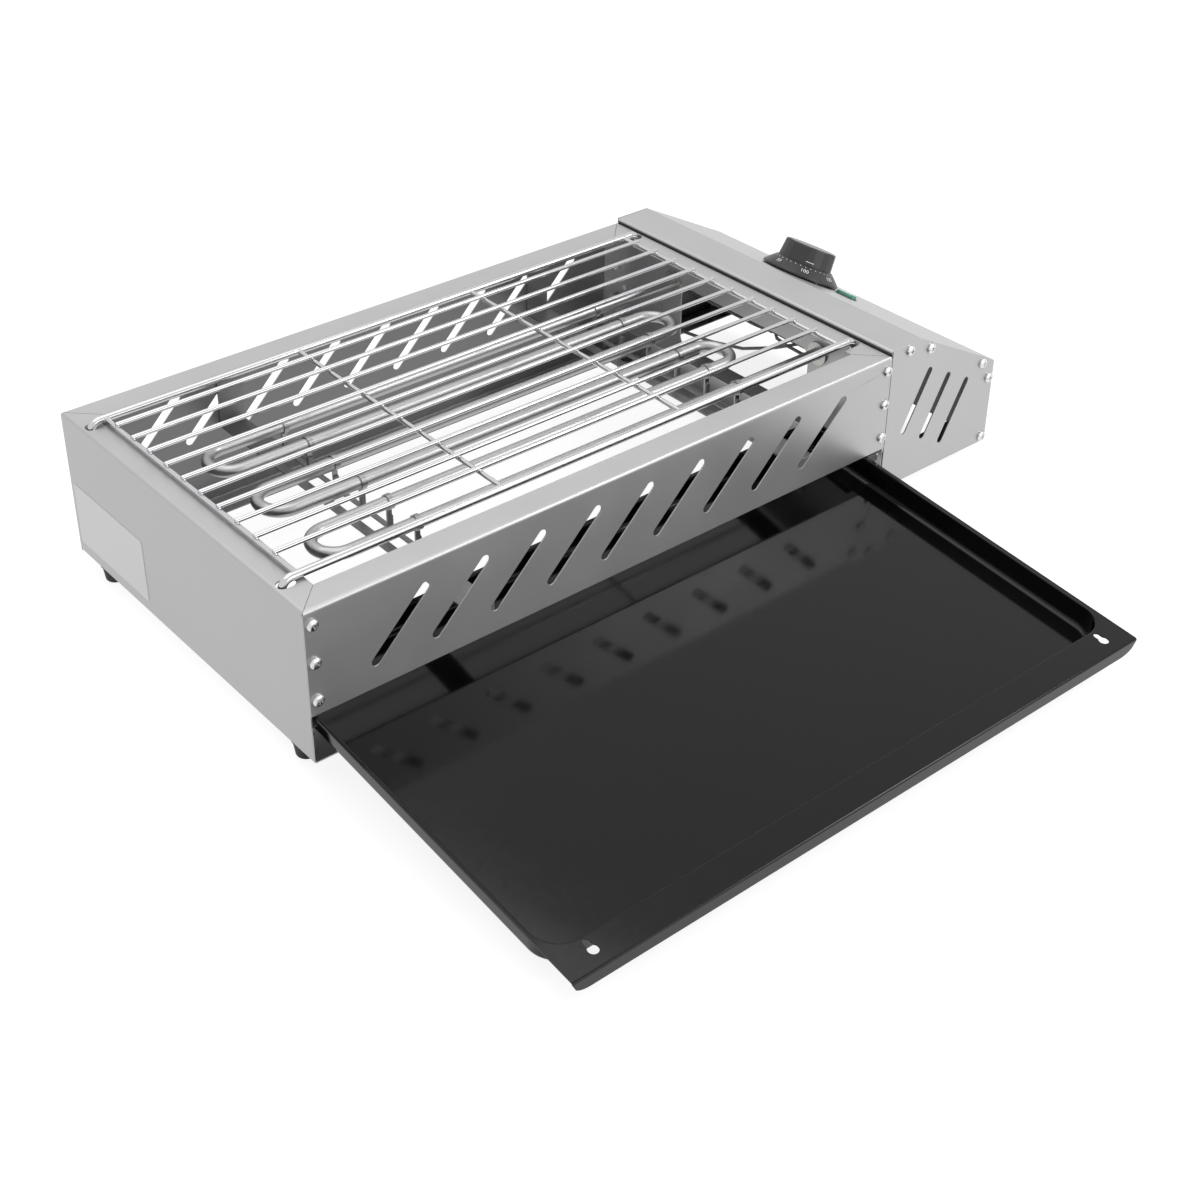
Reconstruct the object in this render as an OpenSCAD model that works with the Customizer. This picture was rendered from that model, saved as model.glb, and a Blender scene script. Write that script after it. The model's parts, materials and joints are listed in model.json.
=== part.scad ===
// Electric table grill: slotted sheet metal trough, wire rack, tube element,
// slide-out drip tray and a control box with a dial on its sloping top.
// Millimetres, +Z up. X runs along the length towards the control box, Y from front to back.
// The drip tray is drawn pulled out. The origin is the centre of the front left foot's underside.

/* [Trough] */
// Length of the trough, from the left end to the control box
body_l = 445; // [430:1:480]
// Width of the trough, from front to back
body_w = 270; // [262:1:300]
// Height of the trough above its lower edge
body_h = 100.5; // [98:0.5:112]
// Thickness of the sheet metal
sheet = 0.8; // [0.6:0.1:1]
// Outside radius of the folds
fold_r = 2; // [1.5:0.1:3]
// Width of the flange along the top of each panel
rim_flange = 18.8; // [16:0.1:20]
// Width of the flange along the bottom of each panel
foot_flange = 20; // [18.5:0.1:21]
// Height of the tray opening under the front panel
mouth_h = 32.4; // [32:0.1:34]

/* [Vents] */
// Number of slots in the front and the back panel
vent_count = 9; // [3:1:9]
// Distance from one slot to the next
vent_pitch = 40.5; // [30:0.5:41]
// Width of a slot
vent_w = 6; // [4:0.5:8]
// Distance of the slots' upper centres under the trough's top
vent_top = 16.9; // [14:0.1:30]
// Lowest slot centre above the trough's lower edge
vent_low = 49.5; // [47:0.5:52]
// First slot's lower centre, from the left end
vent_start = 43; // [36:0.5:46]

/* [Control box] */
// Length of the control box
box_l = 105.8; // [100:0.2:130]
// Length of the level ledge beside the trough
ledge_l = 28.5; // [26:0.5:32]
// Height of the ledge above the trough
ledge_step = 3.1; // [2.5:0.1:5]
// Height of the outer end
box_end_h = 62.4; // [60:0.2:68]
// Dial's place down the slope
dial_down = 36; // [34:0.5:40]
// Dial's place from the front
dial_y = 142; // [136:1:150]
// Pilot lamp's place down the slope
lamp_down = 41; // [38:0.5:46]
// Pilot lamp's place from the front
lamp_y = 101; // [92:1:102]

/* [Tray] */
// How far the tray is pulled out
tray_travel = 214; // [160:1:216]
// Angle at which the tray hangs when it is out
tray_droop = 6.08; // [5:0.02:6.5]
// Depth of the pan under its rim
tray_deep = 15; // [12:0.5:16]
// Width of the lip in front of the pan
tray_lip = 20; // [18:0.5:24]
// Height of the lip's turned down edge
tray_edge = 9.5; // [6:0.5:12]
// Slant of the pan's walls, in degrees
tray_draft = 4; // [2:0.5:12]
// Plan radius of the pan's corners
tray_corner = 17; // [12:1:22]

/* [Rack] */
// Number of thin wires
wire_count = 10; // [6:1:10]
// Distance from one thin wire to the next
wire_pitch = 19.45; // [16:0.05:19.8]
// Diameter of the thin wires and of the bars under them
wire_d = 3; // [2.5:0.1:3.4]
// Number of bars under the wires
bar_count = 4; // [4:1:4]
// Diameter of the two side rods
rod_d = 5; // [4:0.2:6]

/* [Element] */
// Diameter of the heating tube
tube_d = 8; // [6.5:0.1:8.5]
// Distance between the tube's straight runs
tube_pitch = 28.6; // [27:0.2:30]
// Depth of the tube's centre under the trough's top
tube_drop = 23.5; // [22.5:0.5:25]
// Width of the straps that carry the tube
strap_w = 18; // [16:0.5:20]
// Depth of the straps' upper face under the trough's top
strap_drop = 47.5; // [46.5:0.5:48.5]

/* [Feet] */
// Height of a foot
foot_h = 12.5; // [10:0.5:16]
// Diameter of a foot at its top
foot_d = 17; // [14:0.5:18]

/* [Hidden] */

// Smoothness of round shapes, small and large
fine = 48;
finer = 96;
// Steps along a sheet metal fold
fold_steps = 5;
// Overrun of every cut
over = 1;
// Gap between pieces that move past each other
play = 0.3;
// Seam between two folded flanges
seam = 0.4;

// Feet and origin
foot_x = 9.6;
foot_y = 24.5;
foot_tip_d = 13;
foot_round = 2.5;
foot_stem_d = 7;
foot_stem_fit = 0.1;
foot_barb_d = 9.5;
foot_barb_h = 2.6;
right_foot_x = body_l - foot_x;
back_foot_y = body_w - foot_y;

// Top of the control box
box_h = body_h + ledge_step;
slope_run = box_l - ledge_l;
slope_fall = box_h - box_end_h;
slope_angle = atan2(slope_fall, slope_run);
slope_l = norm([slope_run, slope_fall]);
box_lip = 12;

// Panel screws
screw_d = 4;
screw_hole = 4.3;
screw_head_d = 7.2;
screw_head_h = 2.4;
screw_crown_h = 1.2;
screw_crown_share = 0.66;
screw_grip = 5;
recess_w = 1;
recess_l = 4.2;
recess_deep = 1.3;
screw_inset = 4.4;
screw_in_left = 5.1;
screw_in_right = 3.8;
screw_low_up = 9.6;
screw_high_down = 9.5;
side_flange = 12;
side_flange_gap = 1;
tab_l = 12;
tab_depth = 9;
cheek_floor = 32;
cheek_vent_count = 3;
cheek_vent_first = 21.2;
cheek_vent_pitch = 22.2;
cheek_vent_from = 18.4;
cheek_vent_to = 62.2;
cheek_vent_w = 4.8;

// Partition
window_low = 29;
window_over = -1;
window_corner = 7;
window_clear = 8.5;
bushing_hole = 13;

// Element
run_count = 6;
nut_r = 9.4;
tube_left = 56;
tube_right_inset = 46;
tube_tail = 18;
clip_t = 0.8;
clip_l = 3.4;
tube_fit = 0.1;
strap_t = 1.2;
strap_left_x = 106;
strap_right_inset = 85.5;
strap_tab_down = 4;
strap_tab_drop = 12;
strap_screw_down = 8.5;
strap_screw_in = 3.3;
window_l = 16.4;
window_w = 8;
window_in = 6.5;
lug_w = 3.4;
lug_h = 15;
clip_foot_share = 1 / 3;

// Rack
rod_y = 28.5;
hook_x = 5.5;
hook_r = 6;
hook_reach = 6.5;
hook_inset = 6.5;
hook_hole = 8.6;
hook_hole_shift = 1;
hook_hole_l = 11.6;
notch_w = 8;
bar_left = 15.6;
bar_right_inset = 19.5;
wire_back = 15.8;
wire_end = 1.2;
weld = 0.3;
rod_z = body_h + play + rod_d / 2;
bar_z = rod_z;
wire_z = bar_z + wire_d - weld;

// Tray, drawn level and pushed in, then pulled out and tipped
tray_gap_left = 2;
tray_gap_right = 15.4;
tray_gap_back = 4.7;
tray_proud = 3.2;
tray_rim = 3;
tray_under = 0.5;
tray_top = mouth_h - tray_under;
tray_x0 = tray_gap_left;
tray_x1 = body_l - tray_gap_right;
tray_y0 = -tray_proud;
tray_y1 = body_w - tray_gap_back;
tray_wall = sheet;
keyhole_in_left = 21;
keyhole_in_right = 18;
keyhole_back = 12.5;
keyhole_w = 5;
keyhole_l = 11;

// Rollers at the mouth on which the tray runs and tips
roller_r = 4;
roller_y = 4;
roller_z = tray_top - tray_wall - play - roller_r;
roller_bore = 0.08;
pin_d = 3;
right_roller_l = 12;

// Runners: what lies under the rims stops short of the pan's walls
runner_top = tray_top - tray_wall - play;
runner_web = 9;
runner_gap = 1;
runner_start = roller_y + roller_r + runner_gap;
keeper_end = 56;
keeper_z = tray_top + (keeper_end - roller_y) * tan(tray_droop) + play;
runner_reach_left = tray_x0 + tray_rim - tray_wall - play - sheet;
runner_reach_right = tray_gap_right + tray_rim - tray_wall - play - sheet;

// Slope fittings
knob_gap = 1;
hub_gap = 2;
hub_fit = 0.1;
knob_blend = 1;
knob_r = 28.1;
knob_cap_r = 20;
knob_top_r = 19.1;
knob_h = 22;
knob_edge = 1.4;
skirt_h = 9;
hub_r = 7;
shaft_r = 3;
shaft_fit = 0.08;
shaft_hole = 9;
shaft_up = 16;
shaft_down = 12;
flute_count = 10;
flute_r = 20;
flute_deep = 0.8;
skirt_wall = 2.4;
cap_wall = 1.8;
cap_fit = 0.1;
cap_deep = 0.9;
cap_proud = 0.3;
regulator = [40, 44, 27];
regulator_screw_y = 15;
regulator_tab = [6.3, 0.8, 9];
lamp_l = 16.6;
lamp_w = 8;
lamp_bezel = 0.6;
lamp_bezel_h = 0.5;
lamp_lens_h = 2.6;
lamp_lens_edge = 0.9;
lamp_body_l = 20;
lamp_clip_h = 1.6;
lamp_clip_w = 2;
lamp_fit = 0.2;

// Supply side: terminal block and earth screw on the partition, cord inlet in the back side plate
block = [15, 33, 17];
block_ear = 7.5;
block_ear_t = 3;
block_back = 47;
block_under = 7.6;
pole_count = 3;
pole_screw_d = 4;
pole_screw_fit = 0.1;
pole_screw_h = 3;
pole_well = 5;
pole_slot_w = 0.8;
pole_wire_d = 3.2;
gland_back = 18;
gland_z = 24;
gland_bore = 8.4;
gland_r = 7.6;
gland_fit = 0.1;
gland_taper = 1;
gland_flange_r = 10.5;
gland_flange_t = 3.6;
gland_out = 11;
gland_in = 9;
gland_nut_r = 11.5;
gland_nut_t = 4.5;
earth_back = 30;
earth_z = 13;

// Inner leads
lead_d = 2.4;
lead_sides = 8;
lead_rings = 13;
lead_stub = 9;
lead_sag = 16;

// Label plate on the left end
label_w = 86;
label_h = 43;
label_low = 9;
label_back = 3.4;
label_t = 0.3;

// Colours
steel = [0.74, 0.74, 0.75];
bright = [0.85, 0.85, 0.86];
element_grey = [0.6, 0.6, 0.6];
enamel = [0.05, 0.05, 0.055];
plastic = [0.13, 0.13, 0.14];
ceramic = [0.92, 0.9, 0.84];
brass = [0.8, 0.66, 0.3];

// The trough's own frame has its corner at the left, front, lower edge
module trough_frame()
    translate([-foot_x, -foot_y, foot_h]) children();

// The slope's frame: X down the slope, Y to the back, Z out of the sheet
module slope_frame(down = 0, y = 0)
    translate([body_l + ledge_l, y, box_h])
        rotate([0, slope_angle, 0])
            translate([down, 0, 0]) children();

// Pulls the tray out along its tipped plane
module pulled_out()
    translate([0, roller_y, roller_z])
        rotate([tray_droop, 0, 0])
            translate([0, -roller_y - tray_travel, -roller_z]) children();

// Outline of bent sheet: outer points, thickness, fold radius, side of the metal (1 left, -1 right)
function unit(v) = v / norm(v);
function normal(p, i, side) = let (d = unit(p[i + 1] - p[i])) side * [-d[1], d[0]];
function turn(a, b) = atan2(a[0] * b[1] - a[1] * b[0], a * b);
function fold(p, i, depth, r, side) =
    let (a = normal(p, i - 1, side), b = normal(p, i, side))
    let (centre = p[i] + (a + b) / (1 + a * b) * r, start = atan2(a[1], a[0]), by = turn(a, b))
    [for (k = [0:fold_steps]) let (w = start + by * k / fold_steps) centre - (r - depth) * [cos(w), sin(w)]];
function side_line(p, depth, r, side) = let (n = len(p) - 1) concat(
    [p[0] + depth * normal(p, 0, side)],
    [for (i = [1:n - 1]) each fold(p, i, depth, r, side)],
    [p[n] + depth * normal(p, n - 1, side)]);
function reversed(p) = [for (i = [len(p) - 1:-1:0]) p[i]];
function bent(p, t, r, side) = concat(side_line(p, 0, r, side), reversed(side_line(p, t, r, side)));

// Extrudes a profile drawn in Y and Z along X
module along_x(from, to)
    translate([from, 0, 0])
        rotate([90, 0, 90]) linear_extrude(to - from) children();

// Extrudes a profile drawn in X and Z along Y
module along_y(from, to)
    translate([0, to, 0])
        rotate([90, 0, 0]) linear_extrude(to - from) children();

// A straight slot from point a to point b
module slot(a, b, w) {
    length = norm(b - a);
    translate(a) circle(d = w, $fn = fine);
    translate(b) circle(d = w, $fn = fine);
    translate(a) rotate(atan2(b[1] - a[1], b[0] - a[0]))
        translate([0, -w / 2]) square([length, w]);
}

// Pan head screw with a cross recess, head up, its shank down from zero
module screw(grip = screw_grip) {
    rim_h = screw_head_h - screw_crown_h;
    screw_crown_d = screw_head_d * screw_crown_share;
    difference() {
        union() {
            cylinder(d = screw_head_d, h = rim_h, $fn = fine);
            translate([0, 0, rim_h])
                cylinder(d1 = screw_head_d, d2 = screw_crown_d, h = screw_crown_h, $fn = fine);
            translate([0, 0, -grip]) cylinder(d = screw_d, h = grip, $fn = fine);
        }
        for (spin = [0, 90])
            rotate(spin) translate([-recess_l / 2, -recess_w / 2, screw_head_h - recess_deep])
                cube([recess_l, recess_w, recess_deep + over]);
    }
}

// Smooth curve through points, and a round lead swept along it
function curve_point(p, t) =
    let (last = len(p) - 1, i = min(floor(t * last), last - 1), u = t * last - i)
    let (a = p[max(i - 1, 0)], b = p[i], c = p[i + 1], d = p[min(i + 2, last)])
    (2 * b + (c - a) * u + (2 * a - 5 * b + 4 * c - d) * u * u
        + (3 * b - a - 3 * c + d) * u * u * u) / 2;
function along(p, i) = unit(p[min(i + 1, len(p) - 1)] - p[max(i - 1, 0)]);
function across(v, t) = unit(v - (v * t) * t);
function sides(p, i, v) = i == len(p) ? [] :
    let (w = across(v, along(p, i))) concat([w], sides(p, i + 1, w));
module lead(points, d = lead_d) {
    line = [for (k = [0:lead_rings - 1]) curve_point(points, k / (lead_rings - 1))];
    start = along(line, 0);
    side = sides(line, 0, abs(start[0]) < abs(start[1]) ? [1, 0, 0] : [0, 1, 0]);
    n = lead_sides;
    rim = [for (i = [0:lead_rings - 1], k = [0:n - 1])
        let (w = k * 360 / n, up = cross(along(line, i), side[i]))
        line[i] + d / 2 * (side[i] * cos(w) + up * sin(w))];
    polyhedron(rim, concat(
        [[for (k = [0:n - 1]) k]],
        [[for (k = [n - 1:-1:0]) (lead_rings - 1) * n + k]],
        [for (i = [0:lead_rings - 2], k = [0:n - 1]) let (a = i * n + k, b = i * n + (k + 1) % n)
            each [[a, a + n, b], [b, a + n, b + n]]]));
}

// Wedge that cuts the mitre where two top flanges meet, drawn from the outer corner
module mitre_cut(side_flange_w, own_flange_w, from_z, h)
    translate([0, 0, from_z])
        linear_extrude(h) polygon([
            [-over, -over], [-over, own_flange_w + over],
            [side_flange_w + seam / 2, own_flange_w + over],
            [side_flange_w + seam / 2, own_flange_w], [seam / 2, 0], [seam / 2, -over]
        ]);

// Heights and places shared by several pieces
screw_low = mouth_h + screw_low_up;
screw_high = body_h - screw_high_down;
screw_heights = [screw_low, (screw_low + screw_high) / 2, screw_high];
left_screw_x = screw_in_left;
right_screw_x = body_l - screw_in_right;
tube_z = body_h - tube_drop;
strap_z = body_h - strap_drop;
window_top = tube_z + window_over;
run_y = [for (i = [0:run_count - 1]) body_w / 2 + (i - (run_count - 1) / 2) * tube_pitch];
strap_right_x = body_l - strap_right_inset;
strap_tab_top = body_h - strap_tab_down;
strap_screw_z = body_h - strap_screw_down;
vent_rise = body_h - vent_top - vent_low;
block_y = body_w - block_back;
block_z = tube_z - nut_r - block_under - block[2];
earth_y = body_w - earth_back;

block_fixings = [for (y = [block_y - block_ear / 2, block_y + block[1] + block_ear / 2])
    [y, block_z + block[2] / 2]];

module panel_holes()
    for (x = [left_screw_x, right_screw_x], z = screw_heights)
        translate([x, -over, z]) rotate([-90, 0, 0])
            cylinder(d = screw_hole, h = 2 * over + sheet, $fn = fine);

module vents()
    for (i = [0:vent_count - 1]) {
        low = [vent_start + i * vent_pitch, vent_low];
        along_y(-over, over + sheet) slot(low, low + [vent_rise, vent_rise], vent_w);
    }

// Front panel: slotted face with its top folded back, open below for the tray
module front_panel() color(steel) trough_frame() difference() {
    along_x(0, body_l)
        polygon(bent([[0, mouth_h], [0, body_h], [rim_flange, body_h]], sheet, fold_r, -1));
    vents();
    panel_holes();
    mitre_cut(rim_flange, rim_flange, body_h - fold_r, fold_r + over);
    translate([body_l, 0, 0]) mirror([1, 0, 0])
        mitre_cut(rim_flange, rim_flange, body_h - fold_r, fold_r + over);
}

// Back panel: the same slots, but it reaches down to a bottom flange
module back_panel() color(steel) trough_frame() difference() {
    translate([0, body_w, 0]) mirror([0, 1, 0]) difference() {
        along_x(0, body_l) polygon(bent(
            [[foot_flange, 0], [0, 0], [0, body_h], [rim_flange, body_h]], sheet, fold_r, -1));
        vents();
        panel_holes();
        mitre_cut(rim_flange, rim_flange, body_h - fold_r, fold_r + over);
        translate([body_l, 0, 0]) mirror([1, 0, 0])
            mitre_cut(rim_flange, rim_flange, body_h - fold_r, fold_r + over);
        for (x = [-over, body_l - foot_flange - seam])
            translate([x, sheet, -over]) cube([foot_flange + seam + over, foot_flange, fold_r + over]);
    }
    for (x = [strap_left_x, strap_right_x], dx = [strap_screw_in, strap_w - strap_screw_in])
        translate([x + dx, body_w - sheet - over, strap_screw_z]) rotate([-90, 0, 0])
            cylinder(d = screw_hole, h = 2 * over + sheet, $fn = fine);
}

// End section shared by the left panel and the partition: a C of sheet with screw flanges
module end_section(screw_in) {
    back = body_w - sheet;
    difference() {
        along_y(sheet, back) polygon(bent(
            [[foot_flange, 0], [0, 0], [0, body_h], [rim_flange, body_h]], sheet, fold_r, -1));
        translate([0, 0, body_h - fold_r]) for (y = [sheet, back])
            translate([0, y, 0]) mirror([0, y == back ? 1 : 0, 0]) linear_extrude(fold_r + over)
                polygon([[-over, -over], [rim_flange + over, -over],
                    [rim_flange + over, rim_flange - sheet + seam / 2],
                    [rim_flange, rim_flange - sheet + seam / 2], [sheet, seam / 2], [-over, seam / 2]]);
        for (y = [foot_y, back_foot_y])
            translate([foot_x, y, -over]) cylinder(d = foot_stem_d, h = sheet + 2 * over, $fn = fine);
    }
    difference() {
        union() {
            translate([sheet / 2, sheet, mouth_h + side_flange_gap])
                cube([side_flange + sheet / 2, sheet, body_h - fold_r - mouth_h - 2 * side_flange_gap]);
            translate([sheet / 2, back - sheet, fold_r])
                cube([side_flange + sheet / 2, sheet, body_h - 2 * fold_r - side_flange_gap]);
        }
        for (y = [sheet, back], z = screw_heights)
            translate([screw_in, y - sheet - over, z]) rotate([-90, 0, 0])
                cylinder(d = screw_hole, h = 2 * (sheet + over), $fn = fine);
    }
}

// Left end panel with long holes for the rack's hooks
module left_panel() color(steel) trough_frame() difference() {
    end_section(screw_in_left);
    for (y = [rod_y, body_w - rod_y])
        translate([hook_x + hook_hole_shift, y, body_h - sheet - over])
            linear_extrude(sheet + 2 * over) slot([0, 0], [hook_hole_l - hook_hole, 0], hook_hole);
}

// Wall between the trough and the control box
module partition() color(steel) trough_frame() difference() {
    translate([body_l, 0, 0]) mirror([1, 0, 0]) end_section(screw_in_right);
    for (y = [rod_y, body_w - rod_y])
        translate([0, y, body_h - sheet - over]) linear_extrude(sheet + 2 * over)
            slot([body_l - rim_flange - over, 0], [body_l - hook_inset, 0], notch_w);
    for (y = [run_y[0], run_y[run_count - 1]])
        translate([body_l - sheet - over, y, tube_z]) rotate([0, 90, 0])
            cylinder(d = bushing_hole, h = sheet + 2 * over, $fn = fine);
    along_x(body_l - sheet - over, body_l + over) window();
    for (p = concat(block_fixings, [[earth_y, earth_z]]))
        translate([body_l - sheet - over, p[0], p[1]]) rotate([0, 90, 0])
            cylinder(d = screw_hole, h = sheet + 2 * over, $fn = fine);
}

// Rounded opening in the partition
module window() {
    y0 = run_y[0] + window_clear;
    y1 = run_y[run_count - 1] - window_clear;
    z0 = window_low;
    z1 = window_top;
    c = window_corner;
    for (y = [y0 + c, y1 - c], z = [z0 + c, z1 - c]) translate([y, z]) circle(r = c, $fn = fine);
    translate([y0, z0 + c]) square([y1 - y0, z1 - z0 - 2 * c]);
    translate([y0 + c, z0]) square([y1 - y0 - 2 * c, z1 - z0]);
}

// Control box: outer line of its bent cover
box_line = [
    [body_l, body_h - box_lip], [body_l, box_h], [body_l + ledge_l, box_h],
    [body_l + box_l, box_end_h], [body_l + box_l, 0]
];

// Screw places on a cheek, in X and Z: near each bend and at the lower corner
cheek_screws = [
    [body_l + ledge_l - tab_l, box_h - screw_inset],
    [body_l + ledge_l, box_h] + slope_point(tab_l, screw_inset),
    [body_l + ledge_l, box_h] + slope_point(slope_l - tab_l, screw_inset),
    [body_l + box_l - screw_inset, box_end_h - tab_l],
    [body_l + box_l - screw_inset, screw_inset]
];
function slope_point(down, depth) = [
    down * cos(slope_angle) - depth * sin(slope_angle),
    -down * sin(slope_angle) - depth * cos(slope_angle)
];

module cheek_screw_holes(y)
    for (p = cheek_screws) translate([p[0], y - over, p[1]]) rotate([-90, 0, 0])
        cylinder(d = screw_hole, h = 2 * (sheet + over), $fn = fine);

// Cover of the control box: lip, ledge, slope and outer end in one sheet, with screw tabs
module control_cover() color(steel) trough_frame() difference() {
    union() {
        along_y(sheet, body_w - sheet) polygon(bent(box_line, sheet, fold_r, -1));
        for (y = [sheet, body_w - 2 * sheet]) {
            translate([body_l + ledge_l - 1.5 * tab_l, y, box_h - tab_depth])
                cube([tab_l, sheet, tab_depth - sheet / 2]);
            for (down = [tab_l / 2, slope_l - 1.5 * tab_l]) slope_frame(down, y)
                translate([0, 0, -tab_depth]) cube([tab_l, sheet, tab_depth - sheet / 2]);
            for (z = [box_end_h - 1.5 * tab_l, sheet + seam])
                translate([body_l + box_l - tab_depth, y, z])
                    cube([tab_depth - sheet / 2, sheet, tab_l]);
        }
    }
    for (y = [sheet, body_w - 2 * sheet]) cheek_screw_holes(y);
    slope_frame(dial_down, dial_y) {
        translate([0, 0, -sheet - over]) cylinder(d = shaft_hole, h = sheet + 2 * over, $fn = fine);
        for (y = [-1, 1]) translate([0, y * regulator_screw_y, -sheet - over])
            cylinder(d = screw_hole, h = sheet + 2 * over, $fn = fine);
    }
    slope_frame(lamp_down, lamp_y) translate([0, 0, -sheet - over])
        linear_extrude(sheet + 2 * over) lamp_shape(lamp_fit);
}

// Side plate of the control box, drawn for the front
module cheek(floor_w) {
    along_y(0, sheet) polygon(concat(
        [[body_l + seam, 0]], [[body_l + seam, box_h]],
        [for (i = [2:3]) each fold(box_line, i, 0, fold_r, -1)], [[body_l + box_l, 0]]));
    translate([body_l + seam, 0, 0]) cube([box_l - seam - sheet - play, floor_w, sheet]);
}

// Vents of a side plate, square to the slope
module cheek_vents()
    for (i = [0:cheek_vent_count - 1]) {
        down = cheek_vent_first + i * cheek_vent_pitch;
        along_y(-over, sheet + over) translate([body_l + ledge_l, box_h])
            slot(slope_point(down, cheek_vent_from), slope_point(down, cheek_vent_to), cheek_vent_w);
    }

module control_cheek_front() color(steel) trough_frame() difference() {
    cheek(cheek_floor);
    cheek_vents();
    cheek_screw_holes(0);
}

gland_x = body_l + box_l - gland_back;
module control_cheek_back() color(steel) trough_frame() translate([0, body_w, 0]) mirror([0, 1, 0])
    difference() {
        cheek(foot_flange);
        cheek_vents();
        cheek_screw_holes(0);
        translate([gland_x, -over, gland_z]) rotate([-90, 0, 0])
            cylinder(r = gland_r + gland_fit, h = sheet + 2 * over, $fn = fine);
    }

// Runner under the tray's rim, with a short keeper above the rim near the mouth
module runner(ledge_w) {
    runner_end = tray_y1 - runner_gap;
    translate([0, runner_start, runner_top - runner_web])
        cube([sheet, runner_end - runner_start, runner_web]);
    translate([0, runner_start, runner_top - sheet])
        cube([ledge_w, runner_end - runner_start, sheet]);
    translate([0, runner_start, runner_top - sheet])
        cube([sheet, keeper_end - runner_start, keeper_z + 2 * sheet - runner_top]);
    translate([0, runner_start, keeper_z])
        cube([ledge_w, keeper_end - runner_start, sheet]);
}

module runner_left() color(steel) trough_frame()
    translate([sheet, 0, 0]) runner(runner_reach_left);

module runner_right() color(steel) trough_frame()
    translate([body_l - sheet, 0, 0]) mirror([1, 0, 0]) runner(runner_reach_right);

// Pins welded to the end walls, and the rollers that turn on them
module roller_pins() color(bright) trough_frame() {
    translate([sheet, roller_y, roller_z]) rotate([0, 90, 0])
        cylinder(d = pin_d, h = runner_reach_left, $fn = fine);
    translate([body_l - sheet - runner_reach_right, roller_y, roller_z]) rotate([0, 90, 0])
        cylinder(d = pin_d, h = runner_reach_right, $fn = fine);
}

module roller(length) difference() {
    cylinder(r = roller_r, h = length, $fn = fine);
    translate([0, 0, -over]) cylinder(d = pin_d + 2 * roller_bore, h = length + 2 * over, $fn = fine);
}

module tray_rollers() color(plastic) trough_frame() {
    translate([sheet + play, roller_y, roller_z]) rotate([0, 90, 0]) roller(runner_reach_left - play);
    translate([body_l - sheet - runner_reach_right, roller_y, roller_z]) rotate([0, 90, 0])
        roller(right_roller_l);
}

// Strap across the trough, with a lug bent up beside each run of the tube
module strap(x) {
    translate([x, 0, 0]) {
        difference() {
            union() {
                translate([0, sheet, strap_z - strap_t]) cube([strap_w, body_w - 2 * sheet, strap_t]);
                translate([0, sheet, strap_z - strap_tab_drop]) cube([strap_w, strap_t, strap_tab_drop]);
                translate([0, body_w - sheet - strap_t, strap_z - strap_t])
                    cube([strap_w, strap_t, strap_tab_top - strap_z + strap_t]);
            }
            for (y = run_y)
                translate([window_in, y - strap_t / 2 - strap_t - window_l, strap_z - strap_t - over])
                    cube([window_w, window_l, strap_t + 2 * over]);
            for (dx = [strap_screw_in, strap_w - strap_screw_in])
                translate([dx, body_w - sheet - strap_t - over, strap_screw_z]) rotate([-90, 0, 0])
                    cylinder(d = screw_hole, h = strap_t + 2 * over, $fn = fine);
        }
        for (y = run_y)
            translate([window_in + (window_w - lug_w) / 2, y - 1.5 * strap_t, strap_z - strap_t])
                cube([lug_w, strap_t, strap_t + lug_h]);
    }
}

module strap_left() color(steel) trough_frame() strap(strap_left_x);
module strap_right() color(steel) trough_frame() strap(strap_right_x);

// Clips that hold the tube to the lugs of one strap
module clips(x) {
    ring_r = tube_d / 2 + tube_fit;
    for (y = run_y) translate([x + window_in + window_w / 2, y, tube_z]) difference() {
        union() {
            translate([-clip_l / 2, 0, 0]) rotate([0, 90, 0])
                cylinder(r = ring_r + clip_t, h = clip_l, $fn = fine);
            translate([-lug_w / 2, -strap_t / 2, strap_z + lug_h * clip_foot_share - tube_z])
                cube([lug_w, strap_t, tube_z - ring_r - strap_z - lug_h * clip_foot_share]);
        }
        translate([-clip_l / 2 - over, 0, 0]) rotate([0, 90, 0])
            cylinder(r = ring_r, h = clip_l + 2 * over, $fn = fine);
    }
}

module clips_left() color(bright) trough_frame() clips(strap_left_x);
module clips_right() color(bright) trough_frame() clips(strap_right_x);

// Heating tube: straight runs joined by half circles, both ends through the partition
bend_r = tube_pitch / 2;
left_bend_x = tube_left + bend_r;
right_bend_x = body_l - tube_right_inset - bend_r;
tube_end_x = body_l + tube_tail;

module half_turn(x, y, spin)
    translate([x, y, tube_z]) rotate(spin)
        rotate_extrude(angle = 180, $fn = finer) translate([bend_r, 0]) circle(d = tube_d, $fn = fine / 2);

module element_tube() color(element_grey) trough_frame() {
    for (i = [0:run_count - 1]) {
        last = (i == 0 || i == run_count - 1) ? tube_end_x : right_bend_x;
        translate([left_bend_x, run_y[i], tube_z]) rotate([0, 90, 0])
            cylinder(d = tube_d, h = last - left_bend_x, $fn = fine / 2);
    }
    for (i = [0:2:run_count - 2]) half_turn(left_bend_x, run_y[i] + bend_r, 90);
    for (i = [1:2:run_count - 3]) half_turn(right_bend_x, run_y[i] + bend_r, -90);
}

// Things that repeat at the tube's two ends, in a frame along X at the partition
module at_tube_ends()
    for (y = [run_y[0], run_y[run_count - 1]])
        translate([body_l, y, tube_z]) rotate([0, 90, 0]) children();

seal_l = 7;
seal_step = 1;
seal_taper = 2;
pin_fit = 0.1;
pin_r = 1.3;
pin_out = 14;
bushing_r = 6.2;
bushing_flange_r = 8.2;
bushing_flange_t = 1.6;
nut_t = 3.2;

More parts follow.
